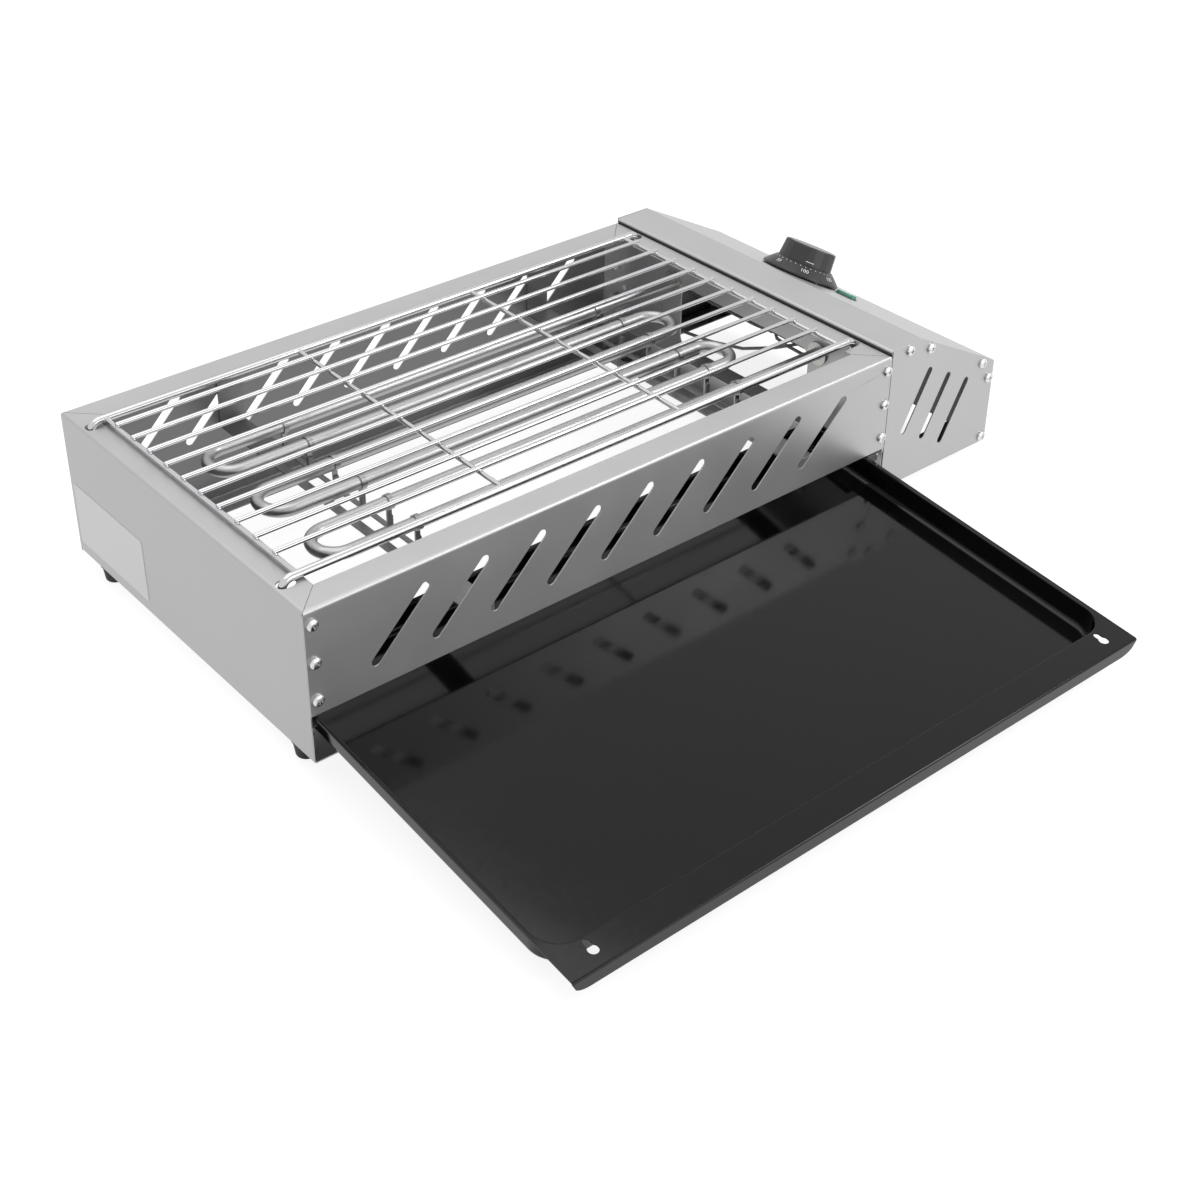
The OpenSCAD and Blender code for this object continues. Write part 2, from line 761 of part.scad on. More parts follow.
module element_bushings() color(brass) trough_frame() at_tube_ends() difference() {
    union() {
        translate([0, 0, -sheet - bushing_flange_t])
            cylinder(r = bushing_flange_r, h = bushing_flange_t, $fn = fine);
        translate([0, 0, -sheet - bushing_flange_t])
            cylinder(r = bushing_r, h = sheet + bushing_flange_t + nut_t + over, $fn = fine);
    }
    translate([0, 0, -sheet - bushing_flange_t - over])
        cylinder(d = tube_d + 2 * tube_fit, h = sheet + bushing_flange_t + nut_t + 3 * over, $fn = fine);
}

module element_nuts() color(brass) trough_frame() at_tube_ends() difference() {
    cylinder(r = nut_r, h = nut_t, $fn = 6);
    translate([0, 0, -over]) cylinder(r = bushing_r + tube_fit, h = nut_t + 2 * over, $fn = fine);
}

module element_seals() color(ceramic) trough_frame() at_tube_ends() translate([0, 0, tube_tail])
    difference() {
        cylinder(d1 = tube_d - seal_step, d2 = tube_d - seal_step - seal_taper, h = seal_l, $fn = fine);
        translate([0, 0, -over]) cylinder(r = pin_r + pin_fit, h = seal_l + 2 * over, $fn = fine);
    }

module element_pins() color(bright) trough_frame() at_tube_ends() translate([0, 0, tube_tail])
    cylinder(r = pin_r, h = pin_out, $fn = fine);

// Screws of the panels and side plates
module front_row()
    for (x = [left_screw_x, right_screw_x], z = screw_heights)
        translate([x, 0, z]) rotate([90, 0, 0]) screw();

module front_panel_screws() color(bright) trough_frame() front_row();
module back_panel_screws() color(bright) trough_frame()
    translate([0, body_w, 0]) mirror([0, 1, 0]) front_row();
module cheek_row() for (p = cheek_screws) translate([p[0], 0, p[1]]) rotate([90, 0, 0]) screw();
module cheek_screws_front() color(bright) trough_frame() cheek_row();
module cheek_screws_back() color(bright) trough_frame()
    translate([0, body_w, 0]) mirror([0, 1, 0]) cheek_row();
module strap_screws() color(bright) trough_frame()
    for (x = [strap_left_x, strap_right_x], dx = [strap_screw_in, strap_w - strap_screw_in])
        translate([x + dx, body_w - sheet - strap_t, strap_screw_z]) rotate([90, 0, 0])
            screw(strap_t + sheet);

// Rubber feet pushed through holes in the bottom flanges
module feet() color(plastic) trough_frame()
    for (x = [foot_x, right_foot_x], y = [foot_y, back_foot_y]) translate([x, y, 0]) {
        tip_r = foot_tip_d / 2;
        rotate_extrude($fn = fine) {
            polygon([[0, -foot_h], [tip_r - foot_round, -foot_h], [tip_r - foot_round, -foot_h + foot_round],
                [tip_r, -foot_h + foot_round], [foot_d / 2, 0], [0, 0]]);
            intersection() {
                translate([tip_r - foot_round, -foot_h + foot_round]) circle(r = foot_round, $fn = fine);
                translate([0, -foot_h]) square([foot_d, foot_round]);
            }
        }
        cylinder(d = foot_stem_d - 2 * foot_stem_fit, h = sheet, $fn = fine);
        translate([0, 0, sheet])
            cylinder(d1 = foot_barb_d, d2 = foot_stem_d, h = foot_barb_h, $fn = fine);
    }

// Bare plate where the rating label sits
module label_plate() color(bright) trough_frame()
    translate([-label_t, body_w - label_back - label_w, label_low]) cube([label_t, label_w, label_h]);

// Power regulator under the slope
module regulator_body() color(ceramic) trough_frame() slope_frame(dial_down, dial_y) difference() {
    translate([-regulator[0] / 2, -regulator[1] / 2, -sheet - regulator[2]]) cube(regulator);
    translate([0, 0, -sheet - shaft_down - over])
        cylinder(r = shaft_r + shaft_fit, h = shaft_down + 2 * over, $fn = fine);
    for (y = [-1, 1]) translate([0, y * regulator_screw_y, -sheet - screw_grip - over])
        cylinder(d = screw_hole, h = screw_grip + 2 * over, $fn = fine);
}

module regulator_screws() color(bright) trough_frame() slope_frame(dial_down, dial_y)
    for (y = [-1, 1]) translate([0, y * regulator_screw_y, 0]) screw();

// Flat terminals under the regulator
tab_places = [for (x = [-1, 1], y = [-1, 1]) [x * regulator[0] / 4, y * regulator[1] / 4]];
module regulator_tabs() color(bright) trough_frame() slope_frame(dial_down, dial_y)
    for (p = tab_places)
        translate([p[0] - regulator_tab[0] / 2, p[1] - regulator_tab[1] / 2,
            -sheet - regulator[2] - regulator_tab[2]])
            cube(regulator_tab);

// Pilot lamp: oblong, with round ends, in a snap-in body
module lamp_shape(grow) {
    w = lamp_w + 2 * grow;
    run = lamp_l - lamp_w;
    slot([0, -run / 2], [0, run / 2], w);
}

module pilot_body() color(plastic) trough_frame() slope_frame(lamp_down, lamp_y) {
    linear_extrude(lamp_bezel_h) lamp_shape(lamp_bezel);
    translate([0, 0, -lamp_body_l]) linear_extrude(lamp_body_l) lamp_shape(0);
    for (side = [-1, 1]) {
        clip_y = side * (lamp_l + lamp_clip_h) / 2;
        translate([-lamp_clip_w / 2, clip_y - lamp_clip_h, -sheet - lamp_clip_h])
            cube([lamp_clip_w, 2 * lamp_clip_h, lamp_clip_h]);
    }
}

module pilot_lens() color([0, 0.55, 0.38]) trough_frame() slope_frame(lamp_down, lamp_y)
    translate([0, 0, lamp_bezel_h]) {
        linear_extrude(lamp_lens_h - lamp_lens_edge) lamp_shape(0);
        for (y = [-1, 1]) translate([0, y * (lamp_l - lamp_w) / 2, lamp_lens_h - lamp_lens_edge])
            cylinder(r1 = lamp_w / 2, r2 = lamp_w / 2 - lamp_lens_edge, h = lamp_lens_edge, $fn = fine);
        translate([0, (lamp_l - lamp_w) / 2, lamp_lens_h - lamp_lens_edge]) rotate([90, 0, 0])
            linear_extrude(lamp_l - lamp_w) polygon([
                [-lamp_w / 2, 0], [lamp_w / 2, 0],
                [lamp_w / 2 - lamp_lens_edge, lamp_lens_edge], [-lamp_w / 2 + lamp_lens_edge, lamp_lens_edge]
            ]);
    }

// Ceramic terminal block on the partition, its wire holes upright
pole_y = [for (i = [0:pole_count - 1]) block_y + (i + 1 / 2) * block[1] / pole_count];
pole_x = body_l + block[0] / 2;

module terminal_block() color(ceramic) trough_frame() difference() {
    union() {
        translate([body_l, block_y, block_z]) cube(block);
        translate([body_l, block_y - block_ear, block_z])
            cube([block_ear_t, block[1] + 2 * block_ear, block[2]]);
    }
    for (y = pole_y) {
        translate([body_l + block[0] - pole_well, y, block_z + block[2] / 2]) rotate([0, 90, 0])
            cylinder(d = pole_screw_d + 2 * pole_screw_fit, h = pole_well + over, $fn = fine);
        translate([pole_x - pole_wire_d / 2, y, block_z - over])
            cylinder(d = pole_wire_d, h = block[2] + 2 * over, $fn = fine);
    }
    for (p = block_fixings) translate([body_l - over, p[0], p[1]]) rotate([0, 90, 0])
        cylinder(d = screw_hole, h = block_ear_t + 2 * over, $fn = fine);
}

module terminal_screws() color(brass) trough_frame()
    for (y = pole_y) translate([body_l + block[0] - pole_well, y, block_z + block[2] / 2])
        rotate([0, 90, 0]) difference() {
            cylinder(d = pole_screw_d, h = pole_screw_h, $fn = fine);
            translate([-pole_screw_d, -pole_slot_w / 2, pole_screw_h - pole_slot_w])
                cube([2 * pole_screw_d, pole_slot_w, pole_slot_w + over]);
        }

module block_screws() color(bright) trough_frame()
    for (p = block_fixings) translate([body_l + block_ear_t, p[0], p[1]]) rotate([0, 90, 0])
        screw(block_ear_t + sheet);

// Cord inlet through the back side plate, with its nut inside
module cord_gland() color(plastic) trough_frame() translate([gland_x, body_w, gland_z])
    rotate([-90, 0, 0]) difference() {
        union() {
            cylinder(r = gland_flange_r, h = gland_flange_t, $fn = fine);
            cylinder(r1 = gland_r + gland_taper, r2 = gland_r - gland_taper, h = gland_out, $fn = fine);
            translate([0, 0, -gland_in]) cylinder(r = gland_r, h = gland_in, $fn = fine);
        }
        translate([0, 0, -gland_in - over])
            cylinder(d = gland_bore, h = gland_in + gland_out + 2 * over, $fn = fine);
    }

module gland_nut() color(plastic) trough_frame()
    translate([gland_x, body_w - sheet, gland_z]) rotate([90, 0, 0]) difference() {
        cylinder(r = gland_nut_r, h = gland_nut_t, $fn = 6);
        translate([0, 0, -over]) cylinder(r = gland_r + gland_fit, h = gland_nut_t + 2 * over, $fn = fine);
    }

// Earth screw on the partition
module earth_screw() color(brass) trough_frame()
    translate([body_l, earth_y, earth_z]) rotate([0, 90, 0]) screw();

// Inner leads, from terminal to terminal
function on_slope(down, y, out) = [
    body_l + ledge_l + down * cos(slope_angle) + out * sin(slope_angle), y,
    box_h - down * sin(slope_angle) + out * cos(slope_angle)
];
function tab_end(i, out = 0) = on_slope(dial_down + tab_places[i][0], dial_y + tab_places[i][1],
    -sheet - regulator[2] - regulator_tab[2] - out);
function pole_foot(i, down = 0) = [pole_x - pole_wire_d / 2, pole_y[i], block_z - down];
function pole_head(i, up = 0) = [pole_x - pole_wire_d / 2, pole_y[i], block_z + block[2] + up];
function pin_end(i, out = 0) = [body_l + tube_tail + pin_out + out, run_y[i], tube_z];
function lamp_foot(side, out = 0) = on_slope(lamp_down, lamp_y + side * lamp_w / 2, -lamp_body_l - out);
function between(a, b, sag) = (a + b) / 2 - [0, 0, sag];

module lead_supply() color([0.35, 0.2, 0.1]) trough_frame() lead([
    pole_head(1), pole_head(1, lead_stub), between(pole_head(1, lead_stub), tab_end(3, lead_stub), 0),
    tab_end(3, lead_stub), tab_end(3)]);

module lead_element() color([0.35, 0.2, 0.1]) trough_frame() lead([
    tab_end(0), tab_end(0, lead_stub), between(tab_end(0, lead_stub), pin_end(0, lead_stub), lead_sag),
    pin_end(0, lead_stub), pin_end(0)]);

module lead_return() color([0.15, 0.3, 0.7]) trough_frame() lead([
    pin_end(run_count - 1), pin_end(run_count - 1, lead_stub),
    between(pin_end(run_count - 1, lead_stub), pole_head(0, lead_stub), 0),
    pole_head(0, lead_stub), pole_head(0)]);

module lead_lamp() color([0.35, 0.2, 0.1]) trough_frame() lead([
    lamp_foot(1), lamp_foot(1, lead_stub), tab_end(2, lead_stub), tab_end(2)]);

module lead_lamp_return() color([0.15, 0.3, 0.7]) trough_frame() lead([
    lamp_foot(-1), lamp_foot(-1, lead_stub),
    between(lamp_foot(-1, lead_stub), pole_foot(0, lead_stub), lead_sag),
    pole_foot(0, lead_stub), pole_foot(0)]);

module lead_earth() color([0.4, 0.65, 0.2]) trough_frame() lead([
    pole_foot(2), pole_foot(2, lead_stub), [body_l + screw_head_h, earth_y, earth_z] + [lead_stub, 0, 0],
    [body_l + screw_head_h, earth_y, earth_z]]);

// Drip tray: pan with slanted walls, narrow rims, lip and turned down edge
module pan_solid(grow) {
    inset = tray_deep * tan(tray_draft);
    x0 = tray_x0 + tray_rim - grow;
    x1 = tray_x1 - tray_rim + grow;
    y0 = tray_y0 + tray_lip - grow;
    y1 = tray_y1 - tray_rim + grow;
    floor_z = tray_top - tray_deep - grow;
    hull() {
        for (x = [x0 + tray_corner, x1 - tray_corner], y = [y0 + tray_corner, y1 - tray_corner])
            translate([x, y, tray_top]) cylinder(r = tray_corner, h = sheet / 8, $fn = 32);
        for (x = [x0 + tray_corner, x1 - tray_corner], y = [y0 + tray_corner, y1 - tray_corner])
            translate([x, y, floor_z]) cylinder(r = tray_corner - inset, h = sheet / 8, $fn = 32);
    }
}

module tray() color(enamel) trough_frame() pulled_out() difference() {
    union() {
        intersection() {
            pan_solid(tray_wall);
            translate([tray_x0, tray_y0, tray_top - 2 * tray_deep])
                cube([tray_x1 - tray_x0, tray_y1 - tray_y0, 2 * tray_deep]);
        }
        translate([tray_x0, tray_y0, tray_top - tray_wall])
            cube([tray_x1 - tray_x0, tray_y1 - tray_y0, tray_wall]);
        translate([tray_x0, tray_y0, tray_top - tray_edge])
            cube([tray_x1 - tray_x0, tray_wall, tray_edge]);
    }
    pan_solid(0);
    for (x = [tray_x0 + keyhole_in_left, tray_x1 - keyhole_in_right])
        translate([x, tray_y0 + keyhole_back, tray_top - tray_wall - over])
            linear_extrude(tray_wall + 2 * over)
                slot([0, (keyhole_w - keyhole_l) / 2], [0, (keyhole_l - keyhole_w) / 2], keyhole_w);
}

// Rack: side rods with hooked ends
module rack_rod(y) {
    x0 = hook_x + hook_r;
    x1 = body_l - hook_inset - hook_r;
    translate([x0, y, rod_z]) rotate([0, 90, 0]) cylinder(d = rod_d, h = x1 - x0, $fn = fine / 2);
    drop = rod_z - hook_r - (body_h - hook_reach);
    for (end = [[x0, -1], [x1, 1]]) translate([end[0], y, rod_z - hook_r]) {
        mirror([end[1] < 0 ? 1 : 0, 0, 0]) rotate([90, 0, 0])
            rotate_extrude(angle = 90, $fn = finer) translate([hook_r, 0]) circle(d = rod_d, $fn = fine / 2);
        if (drop > 0) translate([end[1] * hook_r, 0, -drop]) cylinder(d = rod_d, h = drop, $fn = fine / 2);
    }
}

module rack_rod_front() color(bright) trough_frame() rack_rod(rod_y);
module rack_rod_back() color(bright) trough_frame() rack_rod(body_w - rod_y);

bar_right = body_l - bar_right_inset;
function bar_x(i) = bar_left + i * (bar_right - bar_left) / (bar_count - 1);

// Bar under the wires, welded between the side rods
module rack_bar(i) color(bright) trough_frame()
    translate([bar_x(i), rod_y + rod_d / 2 - weld, bar_z]) rotate([-90, 0, 0])
        cylinder(d = wire_d, h = body_w - 2 * rod_y - rod_d + 2 * weld, $fn = fine / 2);

module rack_bar_1() rack_bar(0);
module rack_bar_2() rack_bar(1);
module rack_bar_3() rack_bar(2);
module rack_bar_4() rack_bar(3);

// Thin wires laid on the bars
module rack_wires() color(bright) trough_frame()
    for (i = [0:wire_count - 1])
        translate([bar_left - wire_end, body_w - rod_y - wire_back - i * wire_pitch, wire_z])
            rotate([0, 90, 0])
                cylinder(d = wire_d, h = bar_right - bar_left + 2 * wire_end, $fn = fine / 2);

// Dial: skirted knob with a fluted grip on its shaft
module knob() color(plastic) trough_frame() slope_frame(dial_down, dial_y) difference() {
    rotate_extrude($fn = finer) polygon([
        [shaft_r + hub_fit, hub_gap], [hub_r, hub_gap], [hub_r, skirt_h - skirt_wall],
        [knob_cap_r - skirt_wall, skirt_h - skirt_wall], [knob_r - skirt_wall, knob_gap],
        [knob_r, knob_gap], [knob_r, knob_gap + knob_edge], [knob_cap_r + knob_blend, skirt_h],
        [knob_cap_r, skirt_h + knob_blend], [knob_top_r, knob_h - knob_blend],
        [knob_top_r - knob_blend, knob_h],
        [knob_top_r - cap_wall, knob_h], [knob_top_r - cap_wall, knob_h - cap_deep],
        [0, knob_h - cap_deep], [0, shaft_up], [shaft_r + hub_fit, shaft_up]
    ]);
    flute_h = knob_h - skirt_h;
    flute_spread = flute_h * (knob_cap_r - knob_top_r) / (flute_h - 2 * knob_blend);
    for (i = [0:flute_count - 1]) rotate(i * 360 / flute_count)
        translate([knob_cap_r + flute_r - flute_deep, 0, skirt_h + knob_blend])
            cylinder(r1 = flute_r, r2 = flute_r + flute_spread, h = flute_h, $fn = finer);
}

// Grey disc let into the top of the dial
module knob_cap() color([0.45, 0.45, 0.46]) trough_frame() slope_frame(dial_down, dial_y)
    translate([0, 0, knob_h - cap_deep])
        cylinder(r = knob_top_r - cap_wall - cap_fit, h = cap_deep + cap_proud, $fn = finer);

module knob_shaft() color(bright) trough_frame() slope_frame(dial_down, dial_y)
    translate([0, 0, -sheet - shaft_down])
        cylinder(r = shaft_r, h = shaft_down + sheet + shaft_up, $fn = fine);

left_panel();
front_panel();
back_panel();
partition();
control_cover();
control_cheek_front();
control_cheek_back();
runner_left();
runner_right();
strap_left();
strap_right();
clips_left();
clips_right();
element_tube();
element_seals();
element_pins();
element_bushings();
element_nuts();
front_panel_screws();
back_panel_screws();
cheek_screws_front();
cheek_screws_back();
strap_screws();
feet();
label_plate();
regulator_body();
regulator_tabs();
regulator_screws();
pilot_body();
pilot_lens();
terminal_block();
terminal_screws();
block_screws();
cord_gland();
gland_nut();
earth_screw();
lead_supply();
lead_element();
lead_return();
lead_lamp();
lead_lamp_return();
lead_earth();
roller_pins();
tray_rollers();
tray();
rack_rod_front();
rack_rod_back();
rack_bar_1();
rack_bar_2();
rack_bar_3();
rack_bar_4();
rack_wires();
knob();
knob_cap();
knob_shaft();
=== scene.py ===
"""Looks of the electric table grill: slotted sheet metal trough, chromed wire rack, tube element,
enamelled drip tray drawn out, and a control box with a dial. Metres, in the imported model's frame."""
import json
import math
import random

import bmesh
import bpy
from mathutils import Matrix, Vector


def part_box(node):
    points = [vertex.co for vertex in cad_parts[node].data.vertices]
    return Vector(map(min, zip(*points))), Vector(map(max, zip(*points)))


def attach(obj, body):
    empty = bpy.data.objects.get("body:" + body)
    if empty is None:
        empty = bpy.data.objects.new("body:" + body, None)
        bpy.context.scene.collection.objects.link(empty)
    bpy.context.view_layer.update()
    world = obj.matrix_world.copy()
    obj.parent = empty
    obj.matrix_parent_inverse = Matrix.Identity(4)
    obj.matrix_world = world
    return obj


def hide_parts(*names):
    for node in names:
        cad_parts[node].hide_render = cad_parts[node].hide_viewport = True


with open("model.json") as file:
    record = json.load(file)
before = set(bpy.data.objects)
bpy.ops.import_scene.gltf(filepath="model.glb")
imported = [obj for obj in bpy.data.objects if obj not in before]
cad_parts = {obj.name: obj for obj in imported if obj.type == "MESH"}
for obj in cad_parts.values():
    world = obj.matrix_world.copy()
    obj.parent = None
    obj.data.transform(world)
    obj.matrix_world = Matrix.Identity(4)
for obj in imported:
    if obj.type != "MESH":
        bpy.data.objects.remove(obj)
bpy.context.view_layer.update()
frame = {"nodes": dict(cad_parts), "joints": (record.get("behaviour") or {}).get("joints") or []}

MM = 0.001
NODES = frame["nodes"]
JOINTS = {j["name"]: j for j in frame["joints"]}
random.seed(7)

# ---------------------------------------------------------------- camera, world, floor and lamps

# The photograph's camera, from a pinhole fit to about sixty points of the object
CAMERA_AT = (-0.4142, -0.7300, 0.6883)
CAMERA_AZIMUTH = -39.20
CAMERA_ELEVATION = 31.65
CAMERA_LENS = 57.56
CAMERA_SENSOR = 36.0
CAMERA_SHIFT = (0.0333, -0.1)
CAMERA_CLIP = (0.05, 60)
# What lights the object, and the plain white that the camera and reflections see
WORLD_LEVEL = 0.5
WORLD_WHITE = 1.0
FLOOR_SIZE = 8.0
FLOOR_GREY = 0.3
FLOOR_GLOW = 0.86
LAMP_AIM = (0.27, 0.05, 0.05)
# Name, place, size and watts of each lamp
LAMPS = [
    ("lamp_top", (0.1, 0.35, 1.7), (1.8, 1.4), 10.5),
    ("lamp_front", (0.75, -1.7, 0.55), (1.6, 0.7), 8),
    ("lamp_right", (1.35, -1.0, 1.3), (0.5, 0.5), 8),
]


def link(obj):
    bpy.context.scene.collection.objects.link(obj)
    return obj


def make_camera():
    data = bpy.data.cameras.new("camera")
    data.lens = CAMERA_LENS
    data.sensor_width = CAMERA_SENSOR
    data.shift_x, data.shift_y = CAMERA_SHIFT
    data.clip_start, data.clip_end = CAMERA_CLIP
    camera = link(bpy.data.objects.new("camera", data))
    camera.location = CAMERA_AT
    camera.rotation_euler = (math.radians(90 - CAMERA_ELEVATION), 0, math.radians(CAMERA_AZIMUTH))
    bpy.context.scene.camera = camera


def seen_directly(tree):
    """One for camera, glossy and transmission rays, which see the plain white studio."""
    path = tree.nodes.new("ShaderNodeLightPath")
    first = tree.nodes.new("ShaderNodeMath")
    first.operation = "MAXIMUM"
    second = tree.nodes.new("ShaderNodeMath")
    second.operation = "MAXIMUM"
    tree.links.new(path.outputs["Is Camera Ray"], first.inputs[0])
    tree.links.new(path.outputs["Is Glossy Ray"], first.inputs[1])
    tree.links.new(first.outputs[0], second.inputs[0])
    tree.links.new(path.outputs["Is Transmission Ray"], second.inputs[1])
    return second.outputs[0]


def make_world():
    world = bpy.data.worlds.new("studio")
    bpy.context.scene.world = world
    world.use_nodes = True
    tree = world.node_tree
    tree.nodes.clear()
    out = tree.nodes.new("ShaderNodeOutputWorld")
    mix = tree.nodes.new("ShaderNodeMixShader")
    tree.links.new(seen_directly(tree), mix.inputs[0])
    for i, level in enumerate((WORLD_LEVEL, WORLD_WHITE)):
        sky = tree.nodes.new("ShaderNodeBackground")
        sky.inputs["Color"].default_value = (1, 1, 1, 1)
        sky.inputs["Strength"].default_value = level
        tree.links.new(sky.outputs[0], mix.inputs[1 + i])
    tree.links.new(mix.outputs[0], out.inputs[0])


def make_floor():
    half = FLOOR_SIZE / 2
    mesh = bpy.data.meshes.new("floor")
    corners = [(-half, -half, 0), (half, -half, 0), (half, half, 0), (-half, half, 0)]
    mesh.from_pydata(corners, [], [(0, 1, 2, 3)])
    floor = link(bpy.data.objects.new("floor", mesh))
    mat = bpy.data.materials.new("floor")
    mat.use_nodes = True
    tree = mat.node_tree
    tree.nodes.clear()
    out = tree.nodes.new("ShaderNodeOutputMaterial")
    plain = tree.nodes.new("ShaderNodeBsdfDiffuse")
    plain.inputs["Color"].default_value = (FLOOR_GREY, FLOOR_GREY, FLOOR_GREY, 1)
    glow = tree.nodes.new("ShaderNodeEmission")
    scale = tree.nodes.new("ShaderNodeMath")
    scale.operation = "MULTIPLY"
    scale.inputs[1].default_value = FLOOR_GLOW
    add = tree.nodes.new("ShaderNodeAddShader")
    tree.links.new(seen_directly(tree), scale.inputs[0])
    tree.links.new(scale.outputs[0], glow.inputs["Strength"])
    tree.links.new(plain.outputs[0], add.inputs[0])
    tree.links.new(glow.outputs[0], add.inputs[1])
    tree.links.new(add.outputs[0], out.inputs[0])
    mesh.materials.append(mat)


def make_lamps():
    for name, at, size, watts in LAMPS:
        data = bpy.data.lights.new(name, "AREA")
        data.shape = "RECTANGLE"
        data.size, data.size_y = size
        data.energy = watts
        lamp = link(bpy.data.objects.new(name, data))
        lamp.location = at
        lamp.rotation_euler = (Vector(LAMP_AIM) - Vector(at)).to_track_quat("-Z", "Y").to_euler()


# ---------------------------------------------------------------- materials

CLOUD_DETAIL = 3.0
GRAIN_DETAIL = 4.0
NOISE_ROUGH = 0.55
# The part of a noise's range in which it does most of its changing
MIDDLE = (0.3, 0.7)
MIDDLE_OF_TWO = (0.7, 1.3)
# How far a face has to look towards a direction to count as an inner face, which gets painted shade
INNER = (0.35, 0.65)


def noise(tree, vector, scale, detail):
    node = tree.nodes.new("ShaderNodeTexNoise")
    node.inputs["Scale"].default_value = scale
    node.inputs["Detail"].default_value = detail
    node.inputs["Roughness"].default_value = NOISE_ROUGH
    tree.links.new(vector, node.inputs["Vector"])
    return node.outputs["Fac"]


def spread(tree, value, low, high, start, end):
    """A value's range from start to end as a range from low to high."""
    node = tree.nodes.new("ShaderNodeMapRange")
    node.inputs["From Min"].default_value = start
    node.inputs["From Max"].default_value = end
    node.inputs["To Min"].default_value = low
    node.inputs["To Max"].default_value = high
    tree.links.new(value, node.inputs["Value"])
    return node.outputs["Result"]


def finish(name, colour, rough, metal, shade, grain, relief, relief_mm, rough_spread, cloud,
           inside=None, shaded_share=1.0, **sockets):
    """A procedural finish: a soft cloud in the colour and the gloss, and a fine grain as relief,
    stretched where its scales differ. Scales are per metre. shade is how dark the cloud's dark parts
    are. Faces that look towards inside get painted shade: their colour is darkened as the shadowed inside
    of a cooking trough and a closed box."""
    mat = bpy.data.materials.new(name)
    mat.use_nodes = True
    tree = mat.node_tree
    bsdf = tree.nodes["Principled BSDF"]
    bsdf.inputs["Metallic"].default_value = metal
    for socket, value in sockets.items():
        bsdf.inputs[socket.replace("_", " ")].default_value = value
    place = tree.nodes.new("ShaderNodeTexCoord").outputs["Object"]
    soft = noise(tree, place, cloud, CLOUD_DETAIL)
    ramp = tree.nodes.new("ShaderNodeValToRGB")
    dark, light = ramp.color_ramp.elements[0], ramp.color_ramp.elements[1]
    dark.position, light.position = MIDDLE
    dark.color = (*(c * shade for c in colour), 1)
    light.color = (*colour, 1)
    tree.links.new(soft, ramp.inputs["Fac"])
    hue = ramp.outputs["Color"]
    if inside:
        hue = painted_inner_shade(tree, hue, inside, shaded_share)
    tree.links.new(hue, bsdf.inputs["Base Color"])
    stretch = tree.nodes.new("ShaderNodeMapping")
    stretch.inputs["Scale"].default_value = grain
    tree.links.new(place, stretch.inputs["Vector"])
    fine = noise(tree, stretch.outputs["Vector"], 1.0, GRAIN_DETAIL)
    both = tree.nodes.new("ShaderNodeMath")
    both.operation = "ADD"
    tree.links.new(soft, both.inputs[0])
    tree.links.new(fine, both.inputs[1])
    gloss = spread(tree, both.outputs[0], rough - rough_spread, rough + rough_spread, *MIDDLE_OF_TWO)
    tree.links.new(gloss, bsdf.inputs["Roughness"])
    bump = tree.nodes.new("ShaderNodeBump")
    bump.inputs["Strength"].default_value = relief
    bump.inputs["Distance"].default_value = relief_mm * MM
    tree.links.new(fine, bump.inputs["Height"])
    tree.links.new(bump.outputs["Normal"], bsdf.inputs["Normal"])
    return mat


def painted_inner_shade(tree, colour, inside, share):
    """Painted shade: the colour, times share on faces whose normal is near the direction."""
    face = tree.nodes.new("ShaderNodeNewGeometry")
    dot = tree.nodes.new("ShaderNodeVectorMath")
    dot.operation = "DOT_PRODUCT"
    dot.inputs[1].default_value = inside
    tree.links.new(face.outputs["True Normal"], dot.inputs[0])
    level = spread(tree, dot.outputs["Value"], 1.0, share, *INNER)
    mix = tree.nodes.new("ShaderNodeVectorMath")
    mix.operation = "SCALE"
    tree.links.new(colour, mix.inputs[0])
    tree.links.new(level, mix.inputs["Scale"])
    return mix.outputs[0]


def even(scale):
    return (scale, scale, scale)


STEEL = (0.50, 0.50, 0.505)
ALONG_X = (60, 2600, 2600)
ALONG_Y = (2600, 60, 2600)
SLANT = 0.707
# Share of colour kept on inner faces under painted shade, deep and half
DEEP_INNER_SHADE = 0.2
HALF_INNER_SHADE = 0.5
# The steel's finishes: grain, then the direction of the inner faces and how much colour they keep under
# their painted shade
STEELS = {
    "steel_back": (ALONG_X, (0, -1, 0), HALF_INNER_SHADE),
    "steel_cheek": (ALONG_X, (0, 1, 0), DEEP_INNER_SHADE),
    "steel_cheek_b": (ALONG_X, (0, -1, 0), DEEP_INNER_SHADE),
    "steel_wall": (ALONG_Y, (1, 0, 0), DEEP_INNER_SHADE),
    "steel_cover": (ALONG_Y, (-SLANT, 0, -SLANT), DEEP_INNER_SHADE),
    "steel_end": (ALONG_Y, (1, 0, 0), HALF_INNER_SHADE),
    "steel_x": (ALONG_X,),
    "steel_y": (ALONG_Y,),
}
